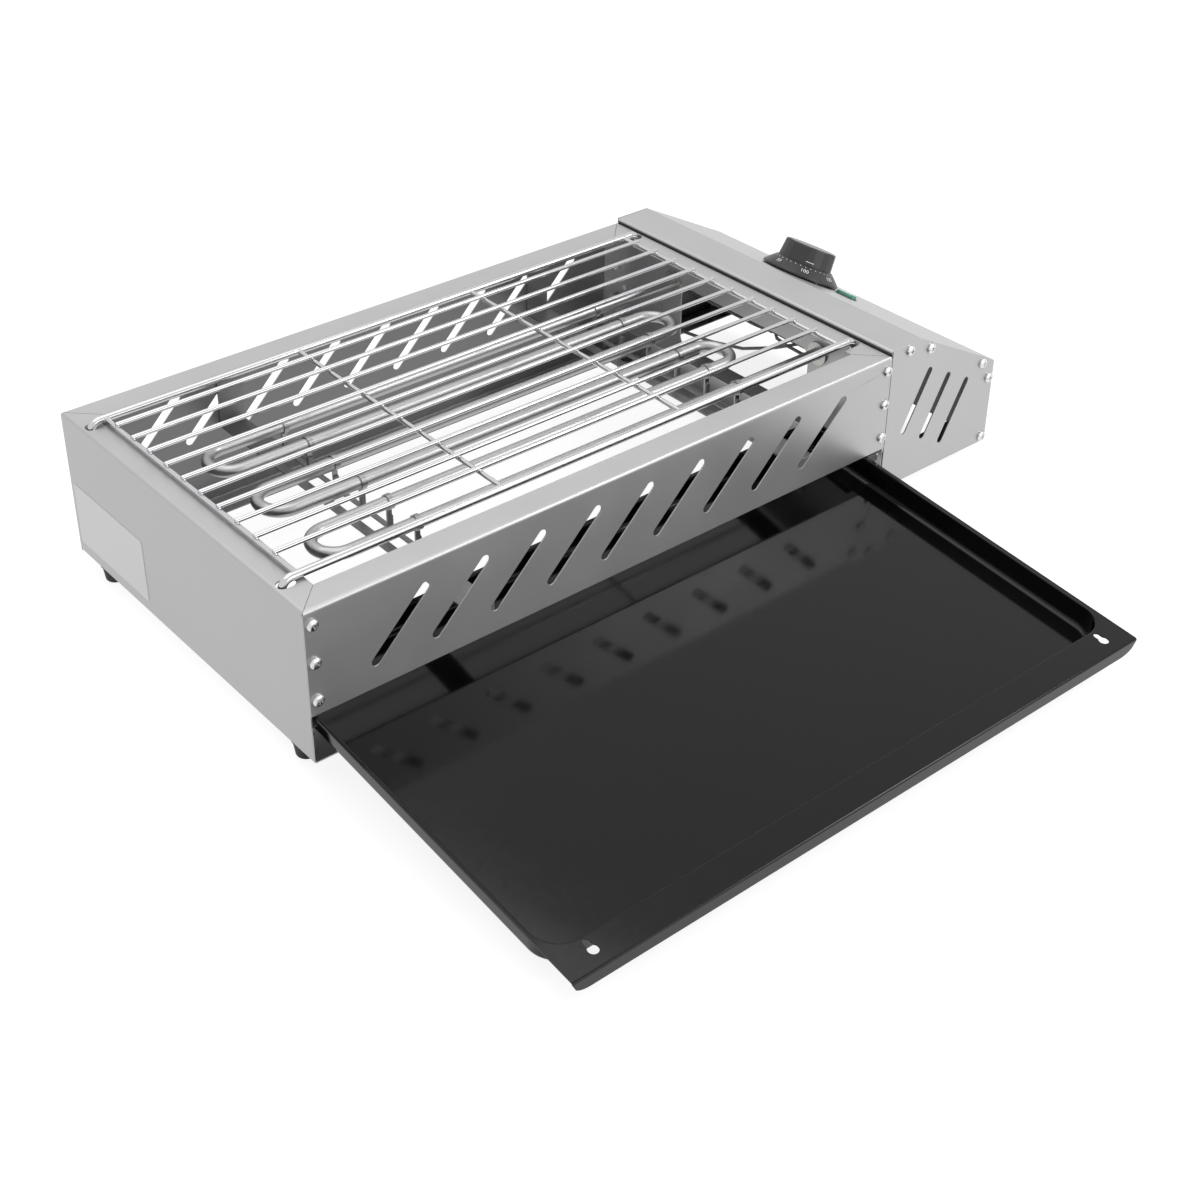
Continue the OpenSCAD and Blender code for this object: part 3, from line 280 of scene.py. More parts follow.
# Colour, roughness, metallic, shade, grain, relief and its height in mm, spread of the roughness, cloud
LOOKS = {
    "steel_strap": ((0.26, 0.26, 0.26), 0.46, 0.8, 0.9, ALONG_Y, 0.3, 0.01, 0.05, 30),
    "zinc": ((0.74, 0.74, 0.75), 0.24, 1.0, 0.85, even(700), 0.3, 0.02, 0.07, 400),
    "spring": ((0.34, 0.34, 0.34), 0.3, 1.0, 0.9, (300, 3000, 3000), 0.3, 0.01, 0.06, 200),
    "tube": ((0.44, 0.44, 0.44), 0.36, 1.0, 0.96, (60, 1800, 1800), 0.12, 0.01, 0.03, 30),
    "chrome": ((0.60, 0.60, 0.61), 0.13, 1.0, 0.97, (150, 1500, 1500), 0.1, 0.01, 0.03, 80),
    "enamel": ((0.0022, 0.0022, 0.0024), 0.1, 0.0, 0.7, even(260), 0.06, 0.02, 0.03, 25),
    "rubber": ((0.028, 0.028, 0.028), 0.72, 0.0, 0.75, even(1500), 0.5, 0.05, 0.08, 90),
    "plastic": ((0.022, 0.022, 0.024), 0.38, 0.0, 0.8, even(1300), 0.35, 0.03, 0.05, 90),
    "insert": ((0.20, 0.20, 0.205), 0.42, 0.0, 0.9, even(1500), 0.3, 0.03, 0.05, 120),
    "paint": ((0.85, 0.85, 0.85), 0.55, 0.0, 0.92, even(900), 0.2, 0.01, 0.05, 300),
    "lens": ((0.0, 0.30, 0.17), 0.12, 0.0, 0.75, even(500), 0.1, 0.02, 0.04, 150),
    "ceramic": ((0.82, 0.80, 0.74), 0.25, 0.0, 0.93, even(600), 0.2, 0.03, 0.06, 60),
    "moulding": ((0.78, 0.76, 0.70), 0.45, 0.0, 0.92, even(900), 0.3, 0.03, 0.05, 60),
    "brass": ((0.72, 0.55, 0.24), 0.26, 1.0, 0.85, even(900), 0.3, 0.02, 0.07, 90),
    "nickel": ((0.52, 0.51, 0.49), 0.3, 1.0, 0.85, even(900), 0.3, 0.02, 0.07, 90),
    "plate": ((0.66, 0.66, 0.67), 0.45, 0.7, 0.98, (2600, 80, 2600), 0.2, 0.01, 0.04, 20),
    "lead_brown": ((0.46, 0.42, 0.39), 0.5, 0.0, 0.85, even(900), 0.2, 0.02, 0.05, 90),
    "lead_blue": ((0.50, 0.52, 0.56), 0.5, 0.0, 0.85, even(900), 0.2, 0.02, 0.05, 90),
    "lead_green": ((0.42, 0.47, 0.34), 0.5, 0.0, 0.85, even(900), 0.2, 0.02, 0.05, 90),
}
EXTRAS = {
    "enamel": {"Specular_IOR_Level": 0.27},
    "lens": {"Coat_Weight": 0.6, "Coat_Roughness": 0.05, "Transmission_Weight": 0.25},
}
FINISHES = {key: finish(key, STEEL, 0.42, 0.8, 0.96, grain, 0.25, 0.01, 0.04, 18, *inner)
            for key, (grain, *inner) in STEELS.items()}
FINISHES.update({key: finish(key, *row, **EXTRAS.get(key, {})) for key, row in LOOKS.items()})

NODE_FINISH = {
    "steel_x": ["front_panel"],
    "steel_back": ["back_panel"],
    "steel_cheek": ["control_cheek_front"],
    "steel_cheek_b": ["control_cheek_back"],
    "steel_end": ["left_panel"],
    "steel_wall": ["partition"],
    "steel_cover": ["control_cover"],
    "steel_y": ["runner_left", "runner_right"],
    "steel_strap": ["strap_left", "strap_right"],
    "spring": ["clips_left", "clips_right"],
    "zinc": ["element_pins", "regulator_tabs", "roller_pins", "knob_shaft", "block_screws",
             "regulator_screws", "strap_screws", "front_panel_screws", "back_panel_screws",
             "cheek_screws_front", "cheek_screws_back"],
    "tube": ["element_tube"],
    "chrome": ["rack_rod_front", "rack_rod_back", "rack_bar_1", "rack_bar_2", "rack_bar_3",
               "rack_bar_4", "rack_wires"],
    "enamel": ["tray"],
    "rubber": ["feet"],
    "plastic": ["pilot_body", "cord_gland", "gland_nut", "tray_rollers", "knob"],
    "insert": ["knob_cap"],
    "lens": ["pilot_lens"],
    "ceramic": ["element_seals", "terminal_block"],
    "moulding": ["regulator_body"],
    "nickel": ["element_bushings", "element_nuts"],
    "brass": ["terminal_screws", "earth_screw"],
    "plate": ["label_plate"],
    "lead_brown": ["lead_supply", "lead_element", "lead_lamp"],
    "lead_blue": ["lead_return", "lead_lamp_return"],
    "lead_green": ["lead_earth"],
}
# Nodes with rounded edges, under the width in mm
EDGED = {
    0.25: [name for key, names in NODE_FINISH.items() if key.startswith("steel_") for name in names],
    0.2: ["regulator_body", "terminal_block", "element_nuts", "gland_nut"],
}
WELD_WITHIN = 1e-6
EDGE_STEPS = 2
NODE_EDGE_ANGLE = 35
TRAY_EDGE_ANGLE = 50


def bevelled(obj, width, degrees):
    """Rounds the edges where faces meet at more than this angle."""
    bevel = obj.modifiers.new("edge", "BEVEL")
    bevel.width = width
    bevel.segments = EDGE_STEPS
    bevel.limit_method = "ANGLE"
    bevel.angle_limit = math.radians(degrees)
    return bevel


def soften(obj, width_mm):
    """Joins the split corners of a CAD node's mesh and rounds its sharp edges, as modifiers."""
    weld = obj.modifiers.new("weld", "WELD")
    weld.merge_threshold = WELD_WITHIN
    bevelled(obj, width_mm * MM, NODE_EDGE_ANGLE).harden_normals = True


def dress_nodes():
    for key, names in NODE_FINISH.items():
        for name in names:
            for i in range(len(NODES[name].material_slots)):
                NODES[name].material_slots[i].material = FINISHES[key]
    for width, names in EDGED.items():
        for name in names:
            soften(NODES[name], width)


# ---------------------------------------------------------------- mesh helpers

def mesh_piece(name, verts, faces, key, smooth=True):
    mesh = bpy.data.meshes.new(name)
    mesh.from_pydata([tuple(v) for v in verts], [], faces)
    mesh.update()
    for face in mesh.polygons:
        face.use_smooth = smooth
    obj = link(bpy.data.objects.new(name, mesh))
    mesh.materials.append(FINISHES[key])
    return obj


def settle(obj):
    """Turns a piece's modifiers into its own mesh."""
    bpy.context.view_layer.update()
    mesh = bpy.data.meshes.new_from_object(obj.evaluated_get(bpy.context.evaluated_depsgraph_get()))
    old = obj.data
    obj.modifiers.clear()
    obj.data = mesh
    bpy.data.meshes.remove(old)
    return obj


def drop(obj):
    mesh = obj.data
    bpy.data.objects.remove(obj)
    bpy.data.meshes.remove(mesh)


def cut(obj, cutter):
    """Takes the cutter's volume out of a piece."""
    step = obj.modifiers.new("cut", "BOOLEAN")
    step.operation = "DIFFERENCE"
    step.solver = "EXACT"
    step.object = cutter
    settle(obj)
    drop(cutter)


def by_angle(obj, degrees):
    """Smooth shading with sharp edges where faces meet at more than this angle."""
    obj.data.shade_smooth()
    obj.data.set_sharp_from_angle(angle=math.radians(degrees))


def lathe(profile, steps=64, wave=None):
    """Turns (radius, height) points round Z. wave(radius, height, angle) may change a radius."""
    verts, faces, rows = [], [], []
    for radius, height in profile:
        if radius < 1e-9:
            rows.append([len(verts)] * steps)
            verts.append((0, 0, height))
            continue
        rows.append(list(range(len(verts), len(verts) + steps)))
        for k in range(steps):
            angle = 2 * math.pi * k / steps
            r = wave(radius, height, angle) if wave else radius
            verts.append((r * math.cos(angle), r * math.sin(angle), height))
    for low, high in zip(rows, rows[1:]):
        for k in range(steps):
            n = (k + 1) % steps
            face = [low[k], low[n], high[n], high[k]]
            face = [v for i, v in enumerate(face) if v not in face[:i]]
            if len(face) > 2:
                faces.append(tuple(face))
    return verts, faces


def stacked(rings, closed=False):
    """Rings of the same number of points as (verts, faces), with the last filled, and the first too
    where it is closed."""
    n = len(rings[0])
    verts = [point for ring in rings for point in ring]
    faces = [(i * n + k, i * n + (k + 1) % n, (i + 1) * n + (k + 1) % n, (i + 1) * n + k)
             for i in range(len(rings) - 1) for k in range(n)]
    faces.append(tuple((len(rings) - 1) * n + k for k in range(n)))
    if closed:
        faces.append(tuple(range(n - 1, -1, -1)))
    return verts, faces


def islands(node):
    """Lowest and highest corner of each separate solid of a CAD node."""
    mesh = NODES[node].data
    keys = [tuple(round(c, 6) for c in v.co) for v in mesh.vertices]
    first, parent = {}, list(range(len(keys)))

    def root(i):
        while parent[i] != i:
            parent[i] = parent[parent[i]]
            i = parent[i]
        return i

    for i, key in enumerate(keys):
        parent[root(i)] = root(first.setdefault(key, i))
    for edge in mesh.edges:
        parent[root(edge.vertices[0])] = root(edge.vertices[1])
    groups = {}
    for i, v in enumerate(mesh.vertices):
        groups.setdefault(root(i), []).append(v.co)
    boxes = [(Vector(map(min, zip(*g))), Vector(map(max, zip(*g)))) for g in groups.values()]
    return sorted(boxes, key=lambda b: tuple(round(c, 5) for c in b[0]))


def axes(x, y, z, at):
    """Matrix with these axes and origin."""
    m = Matrix((x, y, z)).transposed().to_4x4()
    m.translation = at
    return m


def place(verts, matrix):
    return [matrix @ Vector(v) for v in verts]


def joined(parts):
    """Several (verts, faces) as one."""
    verts, faces = [], []
    for part_verts, part_faces in parts:
        base = len(verts)
        verts += part_verts
        faces += [tuple(base + i for i in face) for face in part_faces]
    return verts, faces


def give(obj, body, slot, *nodes):
    """A piece rides on its body and stands for these nodes, which it hides. slot is not used."""
    if nodes:
        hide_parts(*nodes)
    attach(obj, body)


# ---------------------------------------------------------------- screws

SCREW_R = 3.6 * MM
SCREW_H = 2.4 * MM
SCREW_RIM = 0.9 * MM
SHANK_R = 2.0 * MM
CROSS_L = 4.4 * MM
CROSS_W = 0.95 * MM
CROSS_DEEP = 1.35 * MM
# The cross narrows to these shares of its length and width at its foot
CROSS_FOOT = (0.45, 0.55)
DOME_DEGREES = (0, 12, 26, 40, 55, 70, 82, 90)
SCREW_STEPS = 32
SQUARE = ((-1, -1), (1, -1), (1, 1), (-1, 1))
BOX_FACES = [(3, 2, 1, 0), (4, 5, 6, 7), (0, 1, 5, 4), (1, 2, 6, 5), (2, 3, 7, 6), (3, 0, 4, 7)]


def screw_mesh(grip):
    """Pan head with a domed top and a tapered cross recess, head along +Z from zero."""
    dome = [(SCREW_R * math.cos(a), SCREW_RIM + (SCREW_H - SCREW_RIM) * math.sin(a))
            for a in map(math.radians, DOME_DEGREES)]
    dome[-1] = (0, SCREW_H)
    profile = [(0, -grip), (SHANK_R * 0.8, -grip), (SHANK_R, -grip + 0.4 * MM), (SHANK_R, 0),
               (SCREW_R - 0.15 * MM, 0), (SCREW_R, 0.15 * MM)] + dome
    head = mesh_piece("screw_master", *lathe(profile, SCREW_STEPS), "zinc")
    half = (CROSS_L / 2, CROSS_W / 2)
    low = (CROSS_FOOT[0] * half[0], CROSS_FOOT[1] * half[1])
    corners = [(sx * low[0], sy * low[1], SCREW_H - CROSS_DEEP) for sx, sy in SQUARE]
    corners += [(sx * half[0], sy * half[1], SCREW_H + MM) for sx, sy in SQUARE]
    for spin in (0, math.pi / 2):
        turned = place(corners, Matrix.Rotation(spin, 4, "Z"))
        cut(head, mesh_piece("recess", turned, BOX_FACES, "zinc", False))
    verts = [v.co.copy() for v in head.data.vertices]
    faces = [tuple(p.vertices) for p in head.data.polygons]
    drop(head)
    return verts, faces


def screw_row(name, node, outward):
    """Detailed screws in place of a CAD row, their heads outward, each turned to its own angle."""
    outward = Vector(outward).normalized()
    side = outward.orthogonal().normalized()
    up = outward.cross(side)
    length = max(abs((b - a).dot(outward)) for a, b in islands(node))
    verts, faces = screw_mesh(length - SCREW_H)
    parts = []
    for low, high in islands(node):
        centre = (low + high) / 2
        at = centre + outward * (length / 2 - SCREW_H)
        turn = Matrix.Rotation(random.uniform(0, math.pi / 2), 4, "Z")
        parts.append((place(verts, axes(side, up, outward, at) @ turn), faces))
    obj = mesh_piece(name, *joined(parts), "zinc")
    by_angle(obj, 32)
    give(obj, "housing", "bright_steel", node)


def make_screws():
    screw_row("pan_screws_front", "front_panel_screws", (0, -1, 0))
    screw_row("pan_screws_back", "back_panel_screws", (0, 1, 0))
    screw_row("pan_screws_cheek_front", "cheek_screws_front", (0, -1, 0))
    screw_row("pan_screws_cheek_back", "cheek_screws_back", (0, 1, 0))


# ---------------------------------------------------------------- drip tray

SHEET = 0.8 * MM
TRAY_DEEP = 15 * MM
TRAY_RIM = 3 * MM
TRAY_LIP = 20 * MM
TRAY_EDGE = 9.5 * MM
TRAY_CORNER = 17 * MM
EDGE_CORNER = 12 * MM
TRAY_DRAFT = math.radians(4)
TRAY_FOLD = 1.3 * MM
TRAY_ROLL = 1.2 * MM
TRAY_FLOOR_R = 3.5 * MM
KEYHOLE_IN = (21 * MM, 18 * MM)
KEYHOLE_BACK = 12.5 * MM
KEYHOLE_W = 5 * MM
KEYHOLE_L = 11 * MM
# Radii of the keyhole's round hole and slot, as shares of its width
KEYHOLE_ROUND = 0.62
KEYHOLE_SLOT = 0.4
TRAY_EDGE_R = 0.22 * MM
LIP_STRAIGHT = 0.2 * MM
CORNER_STEPS = 20
LONG_STEPS = 30
SHORT_STEPS = 18
ROLL_STEPS = 5
FLOOR_STEPS = 6
FOLD_STEPS = 6
NORMAL_WEIGHT = 100


def tray_frame():
    """The tipped tray's matrix, X along it, Y inward and Z out of its rim, and its width and length."""
    slide = Vector(JOINTS["tray_slide"]["axis"]).normalized()
    inward = -slide
    up = Vector((1, 0, 0)).cross(inward)
    low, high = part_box("tray")
    length = (high.y - low.y - SHEET * abs(up.y)) / inward.y
    at = Vector((low.x, low.y, high.z - length * inward.z))
    return axes(Vector((1, 0, 0)), inward, up, at), high.x - low.x, length


def tray_ring(x0, x1, y0, y1, r, z, square=False):
    """Points of a rounded rectangle, or of the square one round it, always the same number, from the
    front left corner's end along the front and round to the left."""
    points = []
    corners = [(x1 - r, y0 + r, -90), (x1 - r, y1 - r, 0), (x0 + r, y1 - r, 90), (x0 + r, y0 + r, 180)]
    starts = [(x0 + r, y0), (x1, y0 + r), (x1 - r, y1), (x0, y1 - r)]
    for (cx, cy, from_deg), start, n in zip(corners, starts, (LONG_STEPS, SHORT_STEPS) * 2):
        a0 = math.radians(from_deg)
        first = (cx + r * math.cos(a0), cy + r * math.sin(a0))
        for k in range(n):
            t = k / n
            points.append((start[0] + (first[0] - start[0]) * t, start[1] + (first[1] - start[1]) * t, z))
        for k in range(CORNER_STEPS):
            a = a0 + math.pi / 2 * k / CORNER_STEPS
            reach = r / max(abs(math.cos(a)), abs(math.sin(a))) if square else r
            points.append((cx + reach * math.cos(a), cy + reach * math.sin(a), z))
    return points


def tray_pan(width, length):
    """The tray from its square rim over the rolled edge and down the wall to the floor, as
    (verts, faces), and the number of points in a ring."""
    steep = math.pi / 2 - TRAY_DRAFT
    slant_sin, slant_cos = math.sin(TRAY_DRAFT), math.cos(TRAY_DRAFT)

    def inset(by, z):
        return tray_ring(TRAY_RIM + by, width - TRAY_RIM - by, TRAY_LIP + by, length - TRAY_RIM - by,
                         TRAY_CORNER - by, z)

    rings = [tray_ring(0, width, TRAY_FOLD, length, TRAY_CORNER, 0, square=True)]
    for k in range(ROLL_STEPS + 1):
        a = steep * k / ROLL_STEPS
        rings.append(inset(TRAY_ROLL * (math.sin(a) - slant_cos), -TRAY_ROLL * (1 - math.cos(a))))
    wall_top = TRAY_ROLL * (1 - slant_sin)
    foot = TRAY_DEEP - TRAY_FLOOR_R * (1 - slant_sin)
    wall_in = (foot - wall_top) * math.tan(TRAY_DRAFT)
    for k in range(FLOOR_STEPS + 1):
        a = TRAY_DRAFT + steep * k / FLOOR_STEPS
        rings.append(inset(wall_in + TRAY_FLOOR_R * (slant_cos - math.cos(a)),
                           -foot - TRAY_FLOOR_R * (math.sin(a) - slant_sin)))
    return stacked(rings), len(rings[0])


def add_lip_edge(verts, faces, ring_size, width):
    """Folds the rim's front down into an edge with rounded lower corners."""
    front = sorted((k for k in range(ring_size) if abs(verts[k][1] - TRAY_FOLD) < 1e-7),
                   key=lambda k: verts[k][0])
    rows = [front]
    for k in range(1, FOLD_STEPS + 1):
        a = math.pi / 2 * k / FOLD_STEPS
        rows.append(list(range(len(verts), len(verts) + len(front))))
        y, z = TRAY_FOLD * (1 - math.sin(a)), -TRAY_FOLD * (1 - math.cos(a))
        verts += [(verts[f][0], y, z) for f in front]
    rows.append(list(range(len(verts), len(verts) + len(front))))
    top = TRAY_FOLD + LIP_STRAIGHT
    for f in front:
        x = verts[f][0]
        near = min(x, width - x, EDGE_CORNER) / EDGE_CORNER
        verts.append((x, 0, -top - (TRAY_EDGE - top) * math.sqrt(1 - (1 - near) ** 2)))
    for upper, lower in zip(rows, rows[1:]):
        for k in range(len(front) - 1):
            faces.append((upper[k], lower[k], lower[k + 1], upper[k + 1]))


def make_tray():
    matrix, width, length = tray_frame()
    (verts, faces), ring_size = tray_pan(width, length)
    add_lip_edge(verts, faces, ring_size, width)
    obj = mesh_piece("drip_tray", verts, faces, "enamel")
    mesh = bmesh.new()
    mesh.from_mesh(obj.data)
    bmesh.ops.recalc_face_normals(mesh, faces=mesh.faces)
    if max(mesh.faces, key=lambda f: f.calc_area()).normal.z < 0:
        bmesh.ops.reverse_faces(mesh, faces=mesh.faces)
    mesh.to_mesh(obj.data)
    mesh.free()
    solid = obj.modifiers.new("sheet", "SOLIDIFY")
    solid.thickness = SHEET
    solid.offset = -1
    solid.use_even_offset = True
    settle(obj)
    for x in (KEYHOLE_IN[0], width - KEYHOLE_IN[1]):
        cut(obj, keyhole(x))
    bevelled(obj, TRAY_EDGE_R, TRAY_EDGE_ANGLE)
    settle(obj)
    by_angle(obj, 40)
    obj.data.transform(matrix)
    evened = obj.modifiers.new("normals", "WEIGHTED_NORMAL")
    evened.keep_sharp = True
    evened.weight = NORMAL_WEIGHT
    give(obj, "tray", "enamel", "tray")


def keyhole(x):
    """Cutter of a keyhole in the lip: a round hole at the front that narrows to a slot."""
    big, small, steps = KEYHOLE_W * KEYHOLE_ROUND, KEYHOLE_W * KEYHOLE_SLOT, 24
    centre = KEYHOLE_BACK - (KEYHOLE_L - KEYHOLE_W) / 3
    tip = KEYHOLE_BACK + (KEYHOLE_L - KEYHOLE_W) / 2
    join = math.acos(small / big)
    outline = []
    for k in range(steps + 1):
        a = -join + (math.pi + 2 * join) * k / steps
        outline.append((x - big * math.cos(a), centre - big * math.sin(a)))
    for k in range(steps // 2 + 1):
        a = math.pi + math.pi * k / (steps // 2)
        outline.append((x - small * math.cos(a), tip - small * math.sin(a)))
    n = len(outline)
    verts = [(u, v, -2 * SHEET) for u, v in outline] + [(u, v, SHEET) for u, v in outline]
    faces = [tuple(range(n - 1, -1, -1)), tuple(range(n, 2 * n))]
    faces += [(k, (k + 1) % n, n + (k + 1) % n, n + k) for k in range(n)]
    return mesh_piece("keyhole", verts, faces, "enamel", False)


# ---------------------------------------------------------------- rack

WIRE_SOFT = 0.45
WELD_LONG = 2.1 * MM
WELD_FLAT = 0.75 * MM
# Sizes of the weld nuggets between wires and bars, and between bars and rods
WIRE_WELD = (WELD_LONG * 0.8, WELD_LONG * 0.8, WELD_FLAT)
ROD_WELD = (WELD_LONG, WELD_FLAT, WELD_LONG * 0.85)
WELD_WOBBLE = (0.9, 1.08)


def bullet(low, high):
    """A wire along X with rounded ends that fills this box."""
    r = (high.z - low.z) / 2
    centre = (low + high) / 2
    half = (high.x - low.x) / 2
    soft = r * WIRE_SOFT
    ends = [(0, -half)] + [(r - soft + soft * math.sin(a), -half + soft * (1 - math.cos(a)))
                           for a in map(math.radians, (0, 20, 45, 70, 90))]
    profile = ends + [(p[0], -p[1]) for p in reversed(ends)]
    verts, faces = lathe(profile, 20)
    turn = axes(Vector((0, 1, 0)), Vector((0, 0, 1)), Vector((1, 0, 0)), centre)
    return place(verts, turn), faces


def blob(at, size):
    """A small flattened weld nugget."""
    profile = [(math.sin(a), -math.cos(a)) for a in (math.pi * k / 8 for k in range(9))]
    profile[0], profile[-1] = (0, -1), (0, 1)
    verts, faces = lathe(profile, 12)
    wobble = [random.uniform(*WELD_WOBBLE) for _ in verts]
    return [Vector(at) + Vector((v[0] * size[0], v[1] * size[1], v[2] * size[2])) * w
            for v, w in zip(verts, wobble)], faces


def make_rack():
    wires = islands("rack_wires")
    obj = mesh_piece("wires", *joined([bullet(a, b) for a, b in wires]), "chrome")
    by_angle(obj, 50)
    give(obj, "rack", "rack_chrome", "rack_wires")
    parts = []
    bars = [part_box(f"rack_bar_{k}") for k in (1, 2, 3, 4)]
    for bar_low, bar_high in bars:
        x = (bar_low.x + bar_high.x) / 2
        for low, high in wires:
            parts.append(blob((x, (low.y + high.y) / 2, bar_high.z), WIRE_WELD))
        z = (bar_low.z + bar_high.z) / 2
        for y in (bar_low.y, bar_high.y):
            parts.append(blob((x, y, z), ROD_WELD))
    welds = mesh_piece("welds", *joined(parts), "chrome")
    give(welds, "rack", "rack_chrome")


# ---------------------------------------------------------------- dial and pilot lamp

KNOB_R = 28.1 * MM
GRIP_R = 20 * MM
GRIP_TOP_R = 19.1 * MM
KNOB_H = 22 * MM
SKIRT_H = 9 * MM
KNOB_GAP = 1 * MM
KNOB_EDGE = 1.4 * MM
FLUTES = 10
FLUTE_DEEP = 0.45 * MM
CAP_WALL = 1.8 * MM
CAP_DEEP = 0.9 * MM
CAP_PROUD = 0.3 * MM
CAP_GAP = 0.1 * MM
CAP_EDGE = 0.25 * MM
CAP_BED = 0.02 * MM
KNOB_WALL = 2.4 * MM
HUB_R = 7 * MM
HUB_FOOT = 2 * MM
SHAFT_R = 3.1 * MM
SHAFT_DEEP = 16 * MM
RIM_R = 0.3 * MM
RIM_TOP_R = 0.5 * MM
GRIP_MARGIN = 1.2 * MM
GRIP_TOP_EDGE = 1.0 * MM
CONE_STEPS = 8
GRIP_STEPS = 12
KNOB_STEPS = 240
CAP_STEPS = 120
# How quickly a flute reaches its depth, and the shape of its flanks
FLUTE_FLAT = 1.25
FLUTE_POWER = 0.9
# Angles round the dial are measured from its side nearest the camera, to the right
DOT_STEP = 10
NUMBER_STEP = 50
NUMBER_START = -95
NUMBERS = ("0", "50", "100", "150", "200", "250", "300")
NUMBER_H = 3.1 * MM
FONT_SHARE = 1.35
NUMBER_R = 24.6 * MM
DOT_R = 0.36 * MM
DOTS_AT = 21.9 * MM
INK = 0.05 * MM
DASH_AT = 10
DASH_HALF = 9
DASH_Z = (11.7 * MM, 12.2 * MM)
CAMERA_SIDE = math.radians(-142)


def dial_frame():
    """X down the slope, Y to the back, Z out of the slope, from the dial's foot."""
    joint = JOINTS["dial_turn"]
    z = Vector(joint["axis"]).normalized()
    y = Vector((0, 1, 0))
    return axes(y.cross(z), y, z, Vector(joint["pos_m"]))


def skirt_point(radius):
    """Height of the skirt's cone at a radius, and its steepness."""
    run = KNOB_R - GRIP_R - MM
    rise = SKIRT_H - KNOB_GAP - KNOB_EDGE
    return KNOB_GAP + KNOB_EDGE + rise * (KNOB_R - radius) / run, math.atan2(rise, run)


def flute(radius, height, angle):
    """The radius less the flute's depth where the point is on the grip's wall."""
    if not SKIRT_H + 0.6 * MM <= height <= KNOB_H - 0.05 * MM or radius < GRIP_TOP_R - GRIP_MARGIN:
        return radius
    phase = (angle * FLUTES / (2 * math.pi)) % 1
    return radius - FLUTE_DEEP * min(1, FLUTE_FLAT * math.sin(math.pi * phase) ** FLUTE_POWER)


def arc(centre_r, centre_z, radius, from_deg, to_deg, steps):
    angles = [math.radians(from_deg + (to_deg - from_deg) * k / steps) for k in range(steps + 1)]
    return [(centre_r + radius * math.cos(a), centre_z + radius * math.sin(a)) for a in angles]


def knob_profile():
    """From the shaft's bore under the skirt, round its rim, up the cone and grip to the cap's seat."""
    foot = KNOB_GAP + KNOB_EDGE
    under = SKIRT_H - KNOB_WALL
    profile = [(0, SHAFT_DEEP), (SHAFT_R, SHAFT_DEEP), (SHAFT_R, HUB_FOOT), (HUB_R, HUB_FOOT),
               (HUB_R, under), (GRIP_R - KNOB_WALL, under), (KNOB_R - KNOB_WALL, KNOB_GAP)]
    profile += arc(KNOB_R - RIM_R, KNOB_GAP + RIM_R, RIM_R, -90, 0, 3)
    profile += arc(KNOB_R - RIM_TOP_R, foot - RIM_R, RIM_TOP_R, 0, 45, 3)
    for k in range(1, CONE_STEPS):
        r = KNOB_R - 0.6 * MM - (KNOB_R - GRIP_R - 1.8 * MM) * k / CONE_STEPS
        profile.append((r, skirt_point(r)[0]))
    profile += [(GRIP_R + MM, skirt_point(GRIP_R + MM)[0]), (GRIP_R + 0.4 * MM, SKIRT_H + 0.3 * MM),
                (GRIP_R, SKIRT_H + 0.7 * MM)]
    low, high = SKIRT_H + GRIP_MARGIN, KNOB_H - GRIP_MARGIN
    for k in range(GRIP_STEPS + 1):
        t = k / GRIP_STEPS
        profile.append((GRIP_R + (GRIP_TOP_R - GRIP_R) * t, low + (high - low) * t))
    profile += arc(GRIP_TOP_R - GRIP_TOP_EDGE, KNOB_H - GRIP_TOP_EDGE, GRIP_TOP_EDGE, 15, 90, 6)
    seat_r, seat = GRIP_TOP_R - CAP_WALL, KNOB_H - CAP_DEEP
    return profile + [(seat_r, KNOB_H), (seat_r, seat), (0, seat)]


def make_knob():
    matrix = dial_frame()
    obj = mesh_piece("dial_knob", *lathe(knob_profile(), KNOB_STEPS, flute), "plastic")
    by_angle(obj, 38)
    obj.data.transform(matrix)
    give(obj, "dial", "black_plastic", "knob")

    cap_r = GRIP_TOP_R - CAP_WALL - CAP_GAP
    bed, top = KNOB_H - CAP_DEEP + CAP_BED, KNOB_H + CAP_PROUD
    cap = [(0, bed), (cap_r, bed), (cap_r, top - CAP_EDGE)]
    cap += arc(cap_r - CAP_EDGE, top - CAP_EDGE, CAP_EDGE, 20, 90, 4)
    cap += [(cap_r * 0.5, top), (0, top)]
    obj = mesh_piece("dial_insert", *lathe(cap, CAP_STEPS), "insert")
    by_angle(obj, 38)
    obj.data.transform(matrix)
    give(obj, "dial", "grey_plastic", "knob_cap")
    make_dial_marks(matrix)


def on_skirt(radius, degrees):
    """Frame on the skirt: X to the right as read from outside, Y up the cone, Z out of it."""
    angle = CAMERA_SIDE + math.radians(degrees)
    out = Vector((math.cos(angle), math.sin(angle), 0))
    height, steep = skirt_point(radius)
    up = -out * math.cos(steep) + Vector((0, 0, 1)) * math.sin(steep)
    right = Vector((0, 0, 1)).cross(out)
    return axes(right, up, right.cross(up), out * radius + Vector((0, 0, height)))


